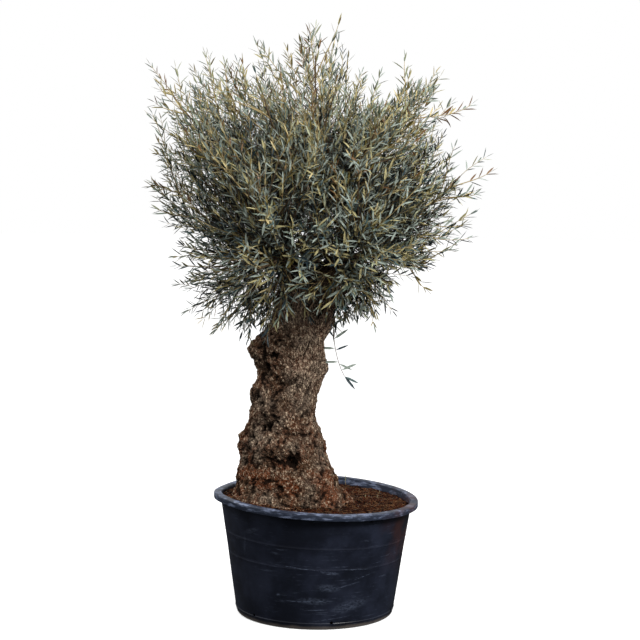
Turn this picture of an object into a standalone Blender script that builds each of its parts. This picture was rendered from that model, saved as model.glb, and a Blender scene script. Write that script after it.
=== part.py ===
"""An old olive tree with a short gnarled trunk, standing in a round nursery tub.

Lengths are metres and angles are degrees. +Z is up, +X is the tree's right as it is looked at
along +Y, and the origin is the middle of the tub's flat underside.

The tree is built the way it grows. A trunk stands on the soil and forks into seven boughs. From
each bough's tip a few stems run out to the edge of the crown, each with side twigs and leaves,
and one stem with all that it bears is one mass of foliage. A leaf here stands for a whole spray.
"""

import math
import random
from functools import partial

import bmesh
import bpy
from mathutils import Matrix, Vector, noise
from mathutils.bvhtree import BVHTree
from mathutils.geometry import interpolate_bezier

CLEAR = 0.0003  # gap between pieces that touch
UP = Vector((0, 0, 1))

# Tub: a cone with an outward lip, whose skirt turns down. The load has pulled the rim askew, and
# it sags behind the trunk.
TUB_HEIGHT = 0.581
TUB_SIDES = 36
FOOT_RADIUS = 0.384
MOUTH_RADIUS = 0.470
WALL = 0.008
FLOOR = 0.014
RIM_RADIUS = 0.500
TUB_BEVEL = 0.012
LIP_DROP = 0.030
LIP_SHEET = 0.006
RIM_TILT = 2.72
RIM_SAG = 0.021
SAG_AZIMUTH = 160
SAG_SPREAD = 30
DRAIN_HOLES = 6
DRAIN_RADIUS = 0.008
DRAIN_HEIGHT = 0.035
DRILL_REACH = 0.03
DRILL_SIDES = 8
FIRST_DRAIN = -78
GUSSETS = 7
GUSSET_SHEET = 0.005
GUSSET_DEPTH = 0.046
GUSSET_TOE = 0.027  # how far down the skirt it reaches
GUSSET_HEEL = 0.004  # how far its lower corner stands off the wall
GUSSET_ROOT = 0.002  # how far that corner is sunk in the wall
FIRST_GUSSET = -159

# Soil: fills the tub to just under the lip.
SOIL_TOP = TUB_HEIGHT - 0.032
SOIL_GAP = 0.001

# Trunk: height, middle in X, middle in Y, half width and half depth at eight stations.
TRUNK_SIDES = 28
TRUNK_RINGS = 29
TRUNK_STATIONS = (
    (0.54, -0.124, -0.030, 0.275, 0.215),
    (0.66, -0.136, -0.025, 0.242, 0.190),
    (0.80, -0.156, -0.020, 0.206, 0.172),
    (0.97, -0.162, -0.015, 0.166, 0.150),
    (1.15, -0.128, -0.010, 0.163, 0.146),
    (1.33, -0.122, -0.005, 0.160, 0.142),
    (1.45, -0.082, 0.000, 0.148, 0.140),
    (1.58, -0.044, 0.000, 0.158, 0.150),
)
FORK_HEIGHT = TRUNK_STATIONS[-1][0]
FLUTES = ((3, 0.022), (7, 0.014))  # how many run round the trunk, and their share of its radius
FLUTE_TWIST = 110  # degrees for each metre up
FOOT_FADE = 3  # the higher, the sooner the rings lie level
# Great knobs: round heads all over the bark, with valleys between them.
KNOB_SPACING = 0.125
KNOB_RISE = 0.032
KNOB_LEVEL = 0.45  # share of the spacing, from a head, at which the bark keeps its plain radius
KNOB_FADE = 0.10  # height over which they grow out, above the foot and below the fork
LIMB_SHARPNESS = 50
# Burls: azimuth, height, spread and rise of each lump. Azimuth 0 is +X, and 270 faces -Y.
BURLS = (
    (188, 1.300, 0.075, 0.062),
    (182, 1.085, 0.050, 0.030),
    (176, 0.855, 0.055, 0.024),
    (4, 1.205, 0.050, 0.024),
    (274, 1.180, 0.032, 0.026),
    (250, 0.840, 0.062, 0.034),
    (232, 1.020, 0.050, 0.026),
    (300, 0.930, 0.055, 0.022),
    (60, 1.310, 0.070, 0.040),
    (100, 1.020, 0.065, 0.035),
    (42, 0.860, 0.060, 0.030),
    (128, 0.780, 0.060, 0.034),
)
# Hollows: the same four values, for the rotted pockets.
HOLLOWS = (
    (282, 0.770, 0.034, 0.040),
    (236, 0.930, 0.024, 0.024),
    (214, 1.190, 0.040, 0.028),
    (80, 1.160, 0.040, 0.026),
    (0, 1.300, 0.050, 0.020),
    (358, 1.060, 0.036, 0.013),
)
# Roots: azimuths where the foot swells into a root, and how far and how high they stand out.
ROOTS = (8, 62, 118, 176, 218, 262, 322)
ROOT_REACH = 0.040
ROOT_RISE = 0.090
ROOT_SPREAD = 15

# Boughs: six round the fork that lean out, and one in the middle that stands upright.
BOUGH_AZIMUTHS = (0, 60, 120, 180, 240, 300)
BOUGH_SIDES = 8
BOUGH_RINGS = 6
BOUGH_FOOT_RADIUS = 0.046
BOUGH_TIP_RADIUS = 0.024
BOUGH_FOOT_REACH = 0.103
BOUGH_TIP_REACH = 0.225
BOUGH_TIP_HEIGHT = 1.735
BOUGH_TIP_RISE = 25
BOUGH_BEND = 0.4  # length of a bough's curve handles, to its own
MIDDLE_TIP = Vector((-0.02, 0.015, 1.93))
MIDDLE_TIP_RADIUS = 0.031

# Crown: how far the shoots reach from the hub, by elevation, to +X, +Y, -X and -Y.
CROWN_HUB = Vector((-0.03, 0.0, 1.70))
CROWN_REACH = (
    (-50, 0.37, 0.48, 0.52, 0.38),
    (-28, 0.49, 0.54, 0.64, 0.48),
    (-8, 0.60, 0.66, 0.69, 0.60),
    (8, 0.78, 0.80, 0.71, 0.74),
    (28, 1.02, 0.98, 0.93, 0.90),
    (50, 1.16, 1.12, 1.27, 1.06),
    (70, 1.16, 1.12, 1.18, 1.12),
    (90, 1.21, 1.21, 1.21, 1.21),
)
# Tiers of foliage: name, elevation, how far its twigs turn up (or hang, where that is negative),
# how many twigs each mass has, and the size of its leaves.
SIDE_TIERS = (
    ("skirt", -34, -0.25, 4, 0.70),
    ("waist", -3, 0.10, 4, 0.80),
    ("shoulder", 27, 0.35, 5, 0.95),
)
UPPER_TIER = ("upper", 55, 0.50, 5, 0.95)
TOP_TIER = ("top", 90, 0.50, 6, 0.95)
STAGGER = 5  # masses of a tier lie higher and lower in turn
MIDDLE_SHARE = 0.66  # where the middle of a mass lies between the hub and the crown's edge
STEM_RADIUS = 0.0065
STEM_END = 0.0036
STEM_RINGS = 6
STEM_LEAD = 0.035  # how far a stem runs straight on from its bough
STEM_BENDS = (0.2, 0.35)  # lengths of a stem's two curve handles, to its own
STEM_SHORT = 0.93  # how much of a leaf's length a stem ends short of the crown's edge
STEM_SHARES = (0.30, 0.48, 0.66, 0.84)  # where a stem bears its pairs of leaves
SIDE_SLOT = 0.014  # how far from a bough's middle its stems stand
UPPER_SLOT = 0.0215
TWIG_RADIUS = 0.0050
TWIG_END = 0.0036
TWIG_LEAN = 40
TWIG_ROOTS = [0.15 + 0.08 * k for k in range(10)]  # shares of a stem that twigs may leave from
TWIG_SHARES = (0.34, 0.52, 0.70, 0.86)  # where a twig bears its leaves
TWIG_SHORT = 0.9  # how much of a leaf's length a twig ends short of its goal
TWIG_LEAST = 0.06
TWIG_ALONG = 0.25  # how much a twig's first half still follows the stem
TWIG_SAG = 0.2  # how much that half hangs back from the twig's lift
TWIG_BARE = 0.4  # share of that half that may pass close by its own stem
GOLDEN_ANGLE = 137.5
TWIG_TRIES = 60
GOAL_SPREAD = 0.5
INNER_SHARE = 0.85  # twigs are bound for places this far out from the hub, or farther
LEAF_LENGTH = 0.230
LEAF_WIDTH = 0.066
LEAF_THICK = 0.0040  # at the root, and four sevenths of it at the widest place
LEAF_WIDEST = 0.42
LEAF_LEAN = 38
LEAF_LEAN_PLAY = 8
LEAF_ROLL_PLAY = 25
LEAF_SINK = 0.008  # how deep a twig's last leaf stands in its end
LEAF_ROD = (0.35, 0.92)  # the stretch of a leaf that must find room
PAIR_OFFSET = 0.027  # share of a path between the two leaves of a pair
LEAF_TRIES = 4
LEAF_ROOM = 0.48  # radius of the room that a leaf keeps, to its width
SPACE_MARGIN = 0.004
TRUNK_ROOM = 0.004
TRUNK_CHECKS = (0, 0.33, 0.67, 1)  # shares of a limb where its place off the trunk is looked at
LIMB_ROOM = 0.003
OWN_ROOM = 0.75  # limbs of one mass may come this close, to their radii
# A shoot that hangs from the trunk's flank: where it leaves, its route, and its leaves' size.
SHOOT_AZIMUTH = -11
SHOOT_HEIGHT = 1.455
SHOOT_LEAD = 0.02
SHOOT_ROUTE = ((0.054, 0.010), (0.066, -0.140), (0.084, -0.260))
SHOOT_LEAF = 0.36
SHOOT_SHARES = (0.40, 0.58, 0.76, 0.92)
SEED = 1

BARK = ("bark", (0.16, 0.11, 0.075), 0.9)
FOLIAGE = ("olive_foliage", (0.20, 0.25, 0.19), 0.6)
PLASTIC = ("black_plastic", (0.018, 0.021, 0.030), 0.45)
EARTH = ("reddish_soil", (0.10, 0.040, 0.020), 1.0)


# ---------------------------------------------------------------- common tools


def clear_scene():
    for thing in list(bpy.data.objects):
        bpy.data.objects.remove(thing)


def material(description):
    name, colour, roughness = description
    made = bpy.data.materials.get(name)
    if made is None:
        made = bpy.data.materials.new(name)
        made.use_nodes = True
        shader = made.node_tree.nodes["Principled BSDF"]
        shader.inputs["Base Color"].default_value = (*colour, 1)
        shader.inputs["Roughness"].default_value = roughness
    return made


def add_object(name, points, faces, finish, collection=None):
    mesh = bpy.data.meshes.new(name)
    mesh.from_pydata([tuple(p) for p in points], [], faces)
    mesh.materials.append(material(finish))
    made = bpy.data.objects.new(name, mesh)
    (collection or bpy.context.scene.collection).objects.link(made)
    return made


def soften(thing, angle=35):
    thing.data.shade_smooth()
    thing.data.set_sharp_from_angle(angle=math.radians(angle))


def join_with(thing, helpers, operation, solver="EXACT"):
    """One Boolean with every helper, applied. The helpers are then removed."""
    group = bpy.data.collections.new(thing.name + "_helpers")
    for helper in helpers:
        for home in list(helper.users_collection):
            home.objects.unlink(helper)
        group.objects.link(helper)
    joint = thing.modifiers.new("join", "BOOLEAN")
    joint.operation = operation
    joint.operand_type = "COLLECTION"
    joint.collection = group
    joint.solver = solver
    graph = bpy.context.evaluated_depsgraph_get()
    joined = bpy.data.meshes.new_from_object(thing.evaluated_get(graph))
    thing.modifiers.clear()
    thing.data = joined
    for helper in helpers:
        bpy.data.objects.remove(helper)
    bpy.data.collections.remove(group)


def tube(path, radii, sides):
    """Points and faces of a closed tube along a path, with flat ends square to it."""
    tangents = [
        (path[min(i + 1, len(path) - 1)] - path[max(i - 1, 0)]).normalized()
        for i in range(len(path))
    ]
    across = tangents[0].orthogonal().normalized()
    points = []
    for place, tangent, radius in zip(path, tangents, radii):
        across = (across - tangent * across.dot(tangent)).normalized()
        beside = tangent.cross(across)
        for k in range(sides):
            turn = 2 * math.pi * k / sides
            points.append(place + radius * (math.cos(turn) * across + math.sin(turn) * beside))
    return points, ring_faces(len(path), sides)


def ring_faces(rings, sides):
    """Faces of a stack of rings of points, closed by a flat face at each end."""
    faces = [tuple(reversed(range(sides)))]
    for i in range(rings - 1):
        for k in range(sides):
            after = (k + 1) % sides
            faces.append(
                (i * sides + k, i * sides + after, (i + 1) * sides + after, (i + 1) * sides + k)
            )
    faces.append(tuple((rings - 1) * sides + k for k in range(sides)))
    return faces


def direction(azimuth, elevation):
    a, e = math.radians(azimuth), math.radians(elevation)
    return Vector((math.cos(a) * math.cos(e), math.sin(a) * math.cos(e), math.sin(e)))


def turn_between(a, b):
    """Degrees from azimuth b to azimuth a, from -180 to 180."""
    return (a - b + 180) % 360 - 180


def between(table, value):
    """Smooth reading of a table of (value, numbers...) rows."""
    rows = [row for row in table if row[0] <= value] or [table[0]]
    low = rows[-1]
    high = next((row for row in table if row[0] > value), table[-1])
    if high[0] == low[0]:
        return low[1:]
    share = min(max((value - low[0]) / (high[0] - low[0]), 0), 1)
    share = share * share * (3 - 2 * share)
    return [a + share * (b - a) for a, b in zip(low[1:], high[1:])]


# ---------------------------------------------------------------- tub and soil


def settle(point):
    """The tub's shape is skewed: its rim is higher at -X than at +X, and its foot is level."""
    drop = point[0] * math.tan(math.radians(RIM_TILT)) / TUB_HEIGHT
    return Vector((point[0], point[1], point[2] * (1 - drop)))


def turned(name, profile, sides, finish):
    """A solid turned about Z from (radius, height) points, closed flat at its two ends."""
    points = []
    for radius, height in profile:
        for k in range(sides):
            a = 2 * math.pi * k / sides
            points.append(Vector((radius * math.cos(a), radius * math.sin(a), height)))
    return add_object(name, points, ring_faces(len(profile), sides), finish)


def wall_radius(height):
    """Outer radius of the tub's wall."""
    return FOOT_RADIUS + (MOUTH_RADIUS - FOOT_RADIUS) * height / TUB_HEIGHT


def make_tub():
    top = TUB_HEIGHT
    skirt_inside = RIM_RADIUS - LIP_SHEET
    outside = [
        (FOOT_RADIUS - TUB_BEVEL, 0),
        (wall_radius(TUB_BEVEL), TUB_BEVEL),
        (wall_radius(top - LIP_SHEET), top - LIP_SHEET),
        (skirt_inside, top - LIP_SHEET),
        (skirt_inside, top - LIP_DROP),
        (RIM_RADIUS, top - LIP_DROP),
        (RIM_RADIUS, top - TUB_BEVEL / 2),
        (RIM_RADIUS - TUB_BEVEL / 2, top),
    ]
    inside = [
        (wall_radius(top) - WALL / 2, top),
        (wall_radius(top) - WALL, top - TUB_BEVEL / 2),
        (wall_radius(FLOOR) - WALL, FLOOR),
    ]
    tub = turned("tub", outside + inside, TUB_SIDES, PLASTIC)
    join_with(tub, [gusset(k) for k in range(GUSSETS)], "UNION")
    join_with(tub, [drain(k) for k in range(DRAIN_HOLES)], "DIFFERENCE")
    for vertex in tub.data.vertices:
        azimuth = math.degrees(math.atan2(vertex.co.y, vertex.co.x))
        sag = RIM_SAG * math.exp(-((turn_between(azimuth, SAG_AZIMUTH) / SAG_SPREAD) ** 2))
        vertex.co = settle(vertex.co)
        vertex.co.z *= 1 - sag / TUB_HEIGHT
    soften(tub)


def gusset(k):
    """A fin under the lip, from the wall to the skirt."""
    heel = wall_radius(TUB_HEIGHT) - WALL / 2
    toe = RIM_RADIUS - LIP_SHEET / 2
    head = TUB_HEIGHT - LIP_SHEET / 2
    outline = [
        (heel, head),
        (toe, head),
        (toe, TUB_HEIGHT - GUSSET_TOE),
        (heel + GUSSET_HEEL, TUB_HEIGHT - GUSSET_DEPTH),
        (heel - GUSSET_ROOT, TUB_HEIGHT - GUSSET_DEPTH),
    ]
    points = [Vector((r, s * GUSSET_SHEET / 2, z)) for s in (1, -1) for r, z in outline]
    fin = add_object(f"gusset_{k}", points, ring_faces(2, len(outline)), PLASTIC)
    turn_to(fin, FIRST_GUSSET + 360 * k / GUSSETS)
    return fin


def drain(k):
    """A cutter for one drain hole near the tub's foot."""
    middle = wall_radius(DRAIN_HEIGHT) - WALL / 2
    ends = [Vector((middle + reach, 0, DRAIN_HEIGHT)) for reach in (-DRILL_REACH, DRILL_REACH)]
    cutter = add_object(f"drain_{k}", *tube(ends, (DRAIN_RADIUS,) * 2, DRILL_SIDES), PLASTIC)
    turn_to(cutter, FIRST_DRAIN + 360 * k / DRAIN_HOLES)
    return cutter


def turn_to(thing, azimuth):
    thing.data.transform(Matrix.Rotation(math.radians(azimuth), 4, "Z"))


def make_soil():
    top, bottom = SOIL_TOP, FLOOR + SOIL_GAP
    inside = WALL + SOIL_GAP
    profile = [(wall_radius(z) - inside, z) for z in (bottom, top)]
    soil = turned("soil", profile, TUB_SIDES, EARTH)
    for vertex in soil.data.vertices:
        vertex.co = settle(vertex.co)
    soften(soil)


# ---------------------------------------------------------------- trunk and boughs


def lumps(table, azimuth, height, girth):
    """How far the lumps of a table stand out here. Girth turns degrees into lengths."""
    out = 0
    for centre, at_height, spread, rise in table:
        round_it = math.radians(turn_between(azimuth, centre)) * girth
        away = (round_it**2 + (height - at_height) ** 2) / spread**2
        out += rise * math.exp(-away)
    return out


def trunk_radius(azimuth, height):
    """Distance from the trunk's middle line to its bark."""
    _, _, half_width, half_depth = between(TRUNK_STATIONS, height)
    a = math.radians(azimuth)
    oval = 1 / math.hypot(math.cos(a) / half_width, math.sin(a) / half_depth)
    twist = azimuth + FLUTE_TWIST * height
    flutes = sum(rise * math.sin(math.radians(count * twist)) for count, rise in FLUTES)
    foot = TRUNK_STATIONS[0][0]
    root = sum(math.exp(-((turn_between(azimuth, at) / ROOT_SPREAD) ** 2)) for at in ROOTS)
    root *= ROOT_REACH * math.exp(-(height - foot) / ROOT_RISE)
    burls = lumps(BURLS, azimuth, height, oval) - lumps(HOLLOWS, azimuth, height, oval)
    return oval * (1 + flutes) + root + burls


def knob_rise(place):
    """How far the great knobs stand out here. The foot and the fork stay plain."""
    nearest = noise.voronoi(place / KNOB_SPACING)[0][0]
    from_ends = min(place.z - TRUNK_STATIONS[0][0], FORK_HEIGHT - place.z)
    return KNOB_RISE * (KNOB_LEVEL - nearest) * min(from_ends / KNOB_FADE, 1)


def trunk_point(azimuth, height):
    middle_x, middle_y, _, _ = between(TRUNK_STATIONS, height)
    middle = Vector((middle_x, middle_y, height))
    plain = direction(azimuth, 0) * trunk_radius(azimuth, height)
    return middle + plain + direction(azimuth, 0) * knob_rise(middle + plain)


def make_trunk():
    """Rings from the cut on the soil, which lies as the soil does, to the level fork."""
    foot = TRUNK_STATIONS[0][0]
    points = []
    for i in range(TRUNK_RINGS):
        share = i / (TRUNK_RINGS - 1)
        for k in range(TRUNK_SIDES):
            p = trunk_point(360 * k / TRUNK_SIDES, foot + share * (FORK_HEIGHT - foot))
            on_soil = settle((p.x, p.y, SOIL_TOP)).z + CLEAR
            p.z += (on_soil - foot) * (1 - share) ** FOOT_FADE
            points.append(p)
    trunk = add_object("trunk", points, ring_faces(TRUNK_RINGS, TRUNK_SIDES), BARK)
    soften(trunk, LIMB_SHARPNESS)
    return trunk


def make_boughs():
    """Each bough's path and radii. Its masses grow from the last of them."""
    middle = Vector((TRUNK_STATIONS[-1][1], TRUNK_STATIONS[-1][2], FORK_HEIGHT + CLEAR))
    boughs = {}
    for azimuth in BOUGH_AZIMUTHS:
        foot = middle + direction(azimuth, 0) * BOUGH_FOOT_REACH
        tip = CROWN_HUB + direction(azimuth, 0) * BOUGH_TIP_REACH
        tip.z = BOUGH_TIP_HEIGHT
        name = side_word(azimuth)
        boughs[name] = make_bough(name, foot, tip, direction(azimuth, BOUGH_TIP_RISE), BOUGH_TIP_RADIUS)
    boughs["middle"] = make_bough("middle", middle, MIDDLE_TIP, UP, MIDDLE_TIP_RADIUS)
    return boughs


def make_bough(name, foot, tip, out, tip_radius):
    """A bough stands upright on the fork, tapers, and bends to point out at its tip."""
    handle = (tip - foot).length * BOUGH_BEND
    path = interpolate_bezier(foot, foot + UP * handle, tip - out * handle, tip, BOUGH_RINGS)
    radii = [
        BOUGH_FOOT_RADIUS + (tip_radius - BOUGH_FOOT_RADIUS) * i / (BOUGH_RINGS - 1)
        for i in range(BOUGH_RINGS)
    ]
    level_end(path, UP, 0, 1)
    level_end(path, out, -1, -2)
    soften(add_object(f"bough_{name}", *tube(path, radii, BOUGH_SIDES), BARK), LIMB_SHARPNESS)
    return path, radii


def level_end(path, along, end, inner):
    """Moves the last point but one so that the path leaves its end just along this direction."""
    path[inner] = path[end] + along * (path[inner] - path[end]).dot(along)


# ---------------------------------------------------------------- crown


def side_word(azimuth):
    """A plain name for one of the six azimuths."""
    return ("right", "back_right", "back_left", "left", "front_left", "front_right")[azimuth // 60]


def crown_reach(way):
    """How far shoots grow from the hub in this direction."""
    flat = math.hypot(way.x, way.y)
    right, back, left, front = between(CROWN_REACH, math.degrees(math.atan2(way.z, flat)))
    side = right if way.x > 0 else left
    depth = back if way.y > 0 else front
    return (side * way.x**2 + depth * way.y**2) / flat**2 if flat > 1e-6 else side


class Space:
    """The room that a mass keeps to: nearer its own middle than any other mass's."""

    def __init__(self, own, others):
        self.own = own
        self.borders = [((own + other) / 2, (own - other).normalized()) for other in others]

    def holds(self, point, margin):
        offset = point - CROWN_HUB
        if offset.length > crown_reach(offset.normalized()):
            return False
        return all((point - place).dot(inward) > margin for place, inward in self.borders)


class Limbs:
    """The trunk's skin, and every other limb, twig and leaf as a straight round-ended rod."""

    def __init__(self, trunk):
        graph = bpy.context.evaluated_depsgraph_get()
        self.trunk = BVHTree.FromObject(trunk, graph)
        self.rods = []

    def add(self, path, radii, mass):
        for a, b, radius in zip(path, path[1:], radii):
            self.rods.append((a, b, radius, mass))

    def clear(self, start, end, radius, mass):
        """Whether a rod stays off all limbs. Rods of one mass may come closer, but not cross."""
        for share in TRUNK_CHECKS:
            place = start.lerp(end, share)
            near, outward, _, gap = self.trunk.find_nearest(place)
            if gap < radius + TRUNK_ROOM or (place - near).dot(outward) < 0:
                return False
        for a, b, thick, owner in self.rods:
            room = (radius + thick) * OWN_ROOM if owner == mass else radius + thick + LIMB_ROOM
            if rod_gap(start, end, a, b) < room:
                return False
        return True


def rod_gap(p, q, a, b):
    """Shortest distance between two straight segments."""
    along, beside, between_starts = q - p, b - a, p - a
    aa, bb, ab = along.length_squared, beside.length_squared, along.dot(beside)
    af, bf = along.dot(between_starts), beside.dot(between_starts)
    square = aa * bb - ab * ab
    s = min(max((ab * bf - af * bb) / square, 0), 1) if square > 1e-12 else 0
    t = (ab * s + bf) / bb
    if not 0 <= t <= 1:
        t = min(max(t, 0), 1)
        s = min(max((ab * t - af) / aa, 0), 1)
    return ((p + along * s) - (a + beside * t)).length


def along_path(path, share):
    """Place and direction at a share of a path's points."""
    at = min(share, 0.9999) * (len(path) - 1)
    i = int(at)
    return path[i].lerp(path[i + 1], at - i), (path[i + 1] - path[i]).normalized()


def lean_off(goal, place):
    """How far from the usual lean a twig from this place and direction to the goal would be."""
    root, along = place
    return abs(math.degrees((goal - root).angle(along)) - TWIG_LEAN)


def spread_from(along, lean, roll):
    """A direction that leans away from another, rolled round it."""
    across = Matrix.Rotation(math.radians(roll), 3, along) @ along.orthogonal().normalized()
    return (along * math.cos(math.radians(lean)) + across * math.sin(math.radians(lean))).normalized()


def leaf(root, along, face, size):
    """Six triangles: an upright root edge, two sides, and a tip, with a keel above and below."""
    side = along.cross(face).normalized()
    widest = root + along * LEAF_LENGTH * LEAF_WIDEST * size
    half_thick = side.cross(along) * LEAF_THICK / 2 * size
    half_width = side * LEAF_WIDTH / 2 * size
    points = [root + half_thick, root - half_thick, widest + half_width, widest - half_width]
    points.append(root + along * LEAF_LENGTH * size)
    return points, [(0, 2, 4), (0, 4, 3), (1, 4, 2), (1, 3, 4), (0, 1, 2), (0, 3, 1)]


class Mass:
    """One mass of foliage as it grows: its stem, and the twigs and leaves to fuse to it."""

    def __init__(self, name, path, space, limbs, lift, size):
        self.name, self.path, self.space, self.limbs = name, path, space, limbs
        self.lift, self.size = lift, size
        self.chance = random.Random(f"{name} {SEED}")
        radii = [
            STEM_RADIUS + (STEM_END - STEM_RADIUS) * i / (len(path) - 1) for i in range(len(path))
        ]
        self.stem = add_object(name, *tube(path, radii, 3), FOLIAGE)
        self.pieces = []
        self.leaves = 0

    def fits(self, start, end, radius):
        places = (start, (start + end) / 2, end)
        inside = all(self.space.holds(p, SPACE_MARGIN + radius) for p in places)
        return inside and self.limbs.clear(start, end, radius, self.name)

    def grow_twigs(self, count):
        """Twigs spread through the space: each is bound for the emptiest of several places."""
        reached = [self.path[-1]]
        for _ in range(count):
            places = [self.random_place() for _ in range(TWIG_TRIES)]
            places = [place for place in places if self.space.holds(place, SPACE_MARGIN)]
            places.sort(key=lambda place: -min((place - other).length for other in reached))
            for place in places:
                if self.grow_twig(place):
                    reached.append(place)
                    break

    def random_place(self):
        """A place round the mass's middle, more often far from the hub than near."""
        aside = Vector(self.chance.uniform(-GOAL_SPREAD, GOAL_SPREAD) for _ in range(3))
        way = (self.space.own - CROWN_HUB + aside).normalized()
        return CROWN_HUB + way * crown_reach(way) * self.chance.uniform(INNER_SHARE, 1)

    def grow_twig(self, goal):
        """A twig whose last leaf's tip is at the goal, from where on the stem it leans least."""
        places = [along_path(self.path, share) for share in TWIG_ROOTS]
        root, along = min(places, key=partial(lean_off, goal))
        way = (goal - root).normalized()
        last_leaf = (way + UP * self.lift / 2).normalized() * LEAF_LENGTH * self.size
        end = goal - last_leaf * TWIG_SHORT
        length = (end - root).length
        early = (end - root).normalized() + along * TWIG_ALONG - UP * self.lift * TWIG_SAG
        bend = root + early.normalized() * length / 2
        path = [root, bend, end]
        if length < TWIG_LEAST or not self.fits(bend, end, TWIG_RADIUS):
            return False
        if not self.fits(root.lerp(bend, TWIG_BARE), bend, TWIG_RADIUS):
            return False
        radii = [TWIG_RADIUS, (TWIG_RADIUS + TWIG_END) / 2, TWIG_END]
        self.pieces.append(add_object("twig", *tube(path, radii, 3), FOLIAGE))
        self.limbs.add(path, radii, self.name)
        self.grow_leaves(path, TWIG_SHARES, (0,))
        return True

    def grow_leaves(self, path, shares, sides):
        """Leaves on these sides of a path at these shares of it, and one at its end."""
        roll = self.chance.uniform(0, 360)
        for share in shares:
            roll += GOLDEN_ANGLE
            for side in sides:
                root, along = along_path(path, share + PAIR_OFFSET * side / 180)
                for attempt in range(LEAF_TRIES):
                    lean = LEAF_LEAN + self.chance.uniform(-LEAF_LEAN_PLAY, LEAF_LEAN_PLAY)
                    play = self.chance.uniform(-LEAF_ROLL_PLAY, LEAF_ROLL_PLAY)
                    way = spread_from(along, lean, roll + side + play)
                    if self.grow_leaf(root, way, along):
                        break
        root, along = along_path(path, 1)
        self.grow_leaf(root - along * LEAF_SINK, along, spread_from(along, 90, roll))

    def grow_leaf(self, root, way, face):
        """A leaf from a twig's middle line, if it fits. Its root edge lies along the twig."""
        length = LEAF_LENGTH * self.size
        radius = LEAF_WIDTH * self.size * LEAF_ROOM
        near, far = (root + way * length * share for share in LEAF_ROD)
        if not self.fits(near, far, radius):
            return False
        self.pieces.append(add_object("leaf", *leaf(root, way, face, self.size), FOLIAGE))
        self.limbs.add([near, root + way * length], [radius], self.name)
        self.leaves += 1
        return True

    def fuse(self):
        join_with(self.stem, self.pieces, "UNION", "MANIFOLD")
        keep_largest(self.stem)
        return self.leaves


def keep_largest(thing):
    """Drops loose scraps, and fills sealed hollows by dropping their skins."""
    mesh = bmesh.new()
    mesh.from_mesh(thing.data)
    left = set(mesh.verts)
    shells = []
    while left:
        shell, edge = set(), [left.pop()]
        while edge:
            vertex = edge.pop()
            shell.add(vertex)
            near = [e.other_vert(vertex) for e in vertex.link_edges]
            fresh = [v for v in near if v in left]
            left.difference_update(fresh)
            edge += fresh
        shells.append(shell)
    shells.sort(key=len)
    bmesh.ops.delete(mesh, geom=[v for shell in shells[:-1] for v in shell], context="VERTS")
    mesh.to_mesh(thing.data)
    mesh.free()


def stem_path(start, out, way, lift, size):
    """A stem leaves the bough as the bough points, and bends to stop a leaf short of the edge."""
    end = CROWN_HUB + way * (crown_reach(way) - LEAF_LENGTH * size * STEM_SHORT)
    lead = start + out * STEM_LEAD
    length = (end - lead).length
    early = lead + out * length * STEM_BENDS[0]
    late = end - (way + UP * lift).normalized() * length * STEM_BENDS[1]
    bend = interpolate_bezier(lead, early, late, end, STEM_RINGS - 1)
    return [start] + bend


def slot_side(out, k):
    """Where the k-th of three stems stands on a bough's end: the first is the lowest."""
    low = (-UP + out * out.z).normalized()
    return Matrix.Rotation(math.radians(120 * k), 3, out) @ low


def plan_stems(boughs):
    """Each mass's name, direction, stem path, lift, number of twigs and size."""
    plans = []
    for azimuth in BOUGH_AZIMUTHS:
        word = side_word(azimuth)
        tip = boughs[word][0][-1]
        out = direction(azimuth, BOUGH_TIP_RISE)
        stagger = STAGGER if azimuth // 60 % 2 == 0 else -STAGGER
        for k, (tier, elevation, lift, twigs, size) in enumerate(SIDE_TIERS):
            way = direction(azimuth, elevation + stagger)
            start = tip + slot_side(out, k) * SIDE_SLOT + out * CLEAR
            path = stem_path(start, out, way, lift, size)
            plans.append((f"{tier}_{word}", way, path, lift, twigs, size))
        tier, elevation, lift, twigs, size = UPPER_TIER
        way = direction(azimuth, elevation + stagger)
        start = MIDDLE_TIP + direction(azimuth, 0) * UPPER_SLOT + UP * CLEAR
        plans.append((f"{tier}_{word}", way, stem_path(start, UP, way, lift, size), lift, twigs, size))
    tier, _, lift, twigs, size = TOP_TIER
    path = stem_path(MIDDLE_TIP + UP * CLEAR, UP, UP, lift, size)
    plans.append((tier, UP, path, lift, twigs, size))
    return plans


def make_crown(trunk, boughs):
    plans = plan_stems(boughs)
    limbs = Limbs(trunk)
    for path, radii in boughs.values():
        limbs.add(path, radii, "bough")
    for name, _, path, *_ in plans:
        limbs.add(path, [STEM_RADIUS] * len(path), name)
    middles = {name: CROWN_HUB + way * crown_reach(way) * MIDDLE_SHARE for name, way, *_ in plans}
    total = 0
    for name, _, path, lift, twigs, size in plans:
        others = [middle for other, middle in middles.items() if other != name]
        mass = Mass(name, path, Space(middles[name], others), limbs, lift, size)
        mass.grow_leaves(path, STEM_SHARES, (0, 180))
        mass.grow_twigs(twigs)
        total += mass.fuse()
    print(f"{len(plans)} masses with {total} leaves")


def make_hanging_shoot(trunk):
    """One thin shoot that leaves the trunk square to its bark and hangs beside it."""
    away = direction(SHOOT_AZIMUTH, 0)
    skin = BVHTree.FromObject(trunk, bpy.context.evaluated_depsgraph_get())
    place, out, _, _ = skin.ray_cast(trunk_point(SHOOT_AZIMUTH, SHOOT_HEIGHT) + away * SHOOT_LEAD, -away)
    start = place + out * CLEAR
    path = [start, start + out * SHOOT_LEAD]
    for aside, drop in SHOOT_ROUTE:
        path.append(start + away * aside + UP * drop)
    mass = Mass("hanging_shoot", path, Anywhere(), Limbs(trunk), 0, SHOOT_LEAF)
    mass.grow_leaves(path, SHOOT_SHARES, (0, 180))
    mass.fuse()


class Anywhere:
    """Room for a shoot that no other foliage is near."""

    def holds(self, point, margin):
        return True


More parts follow.
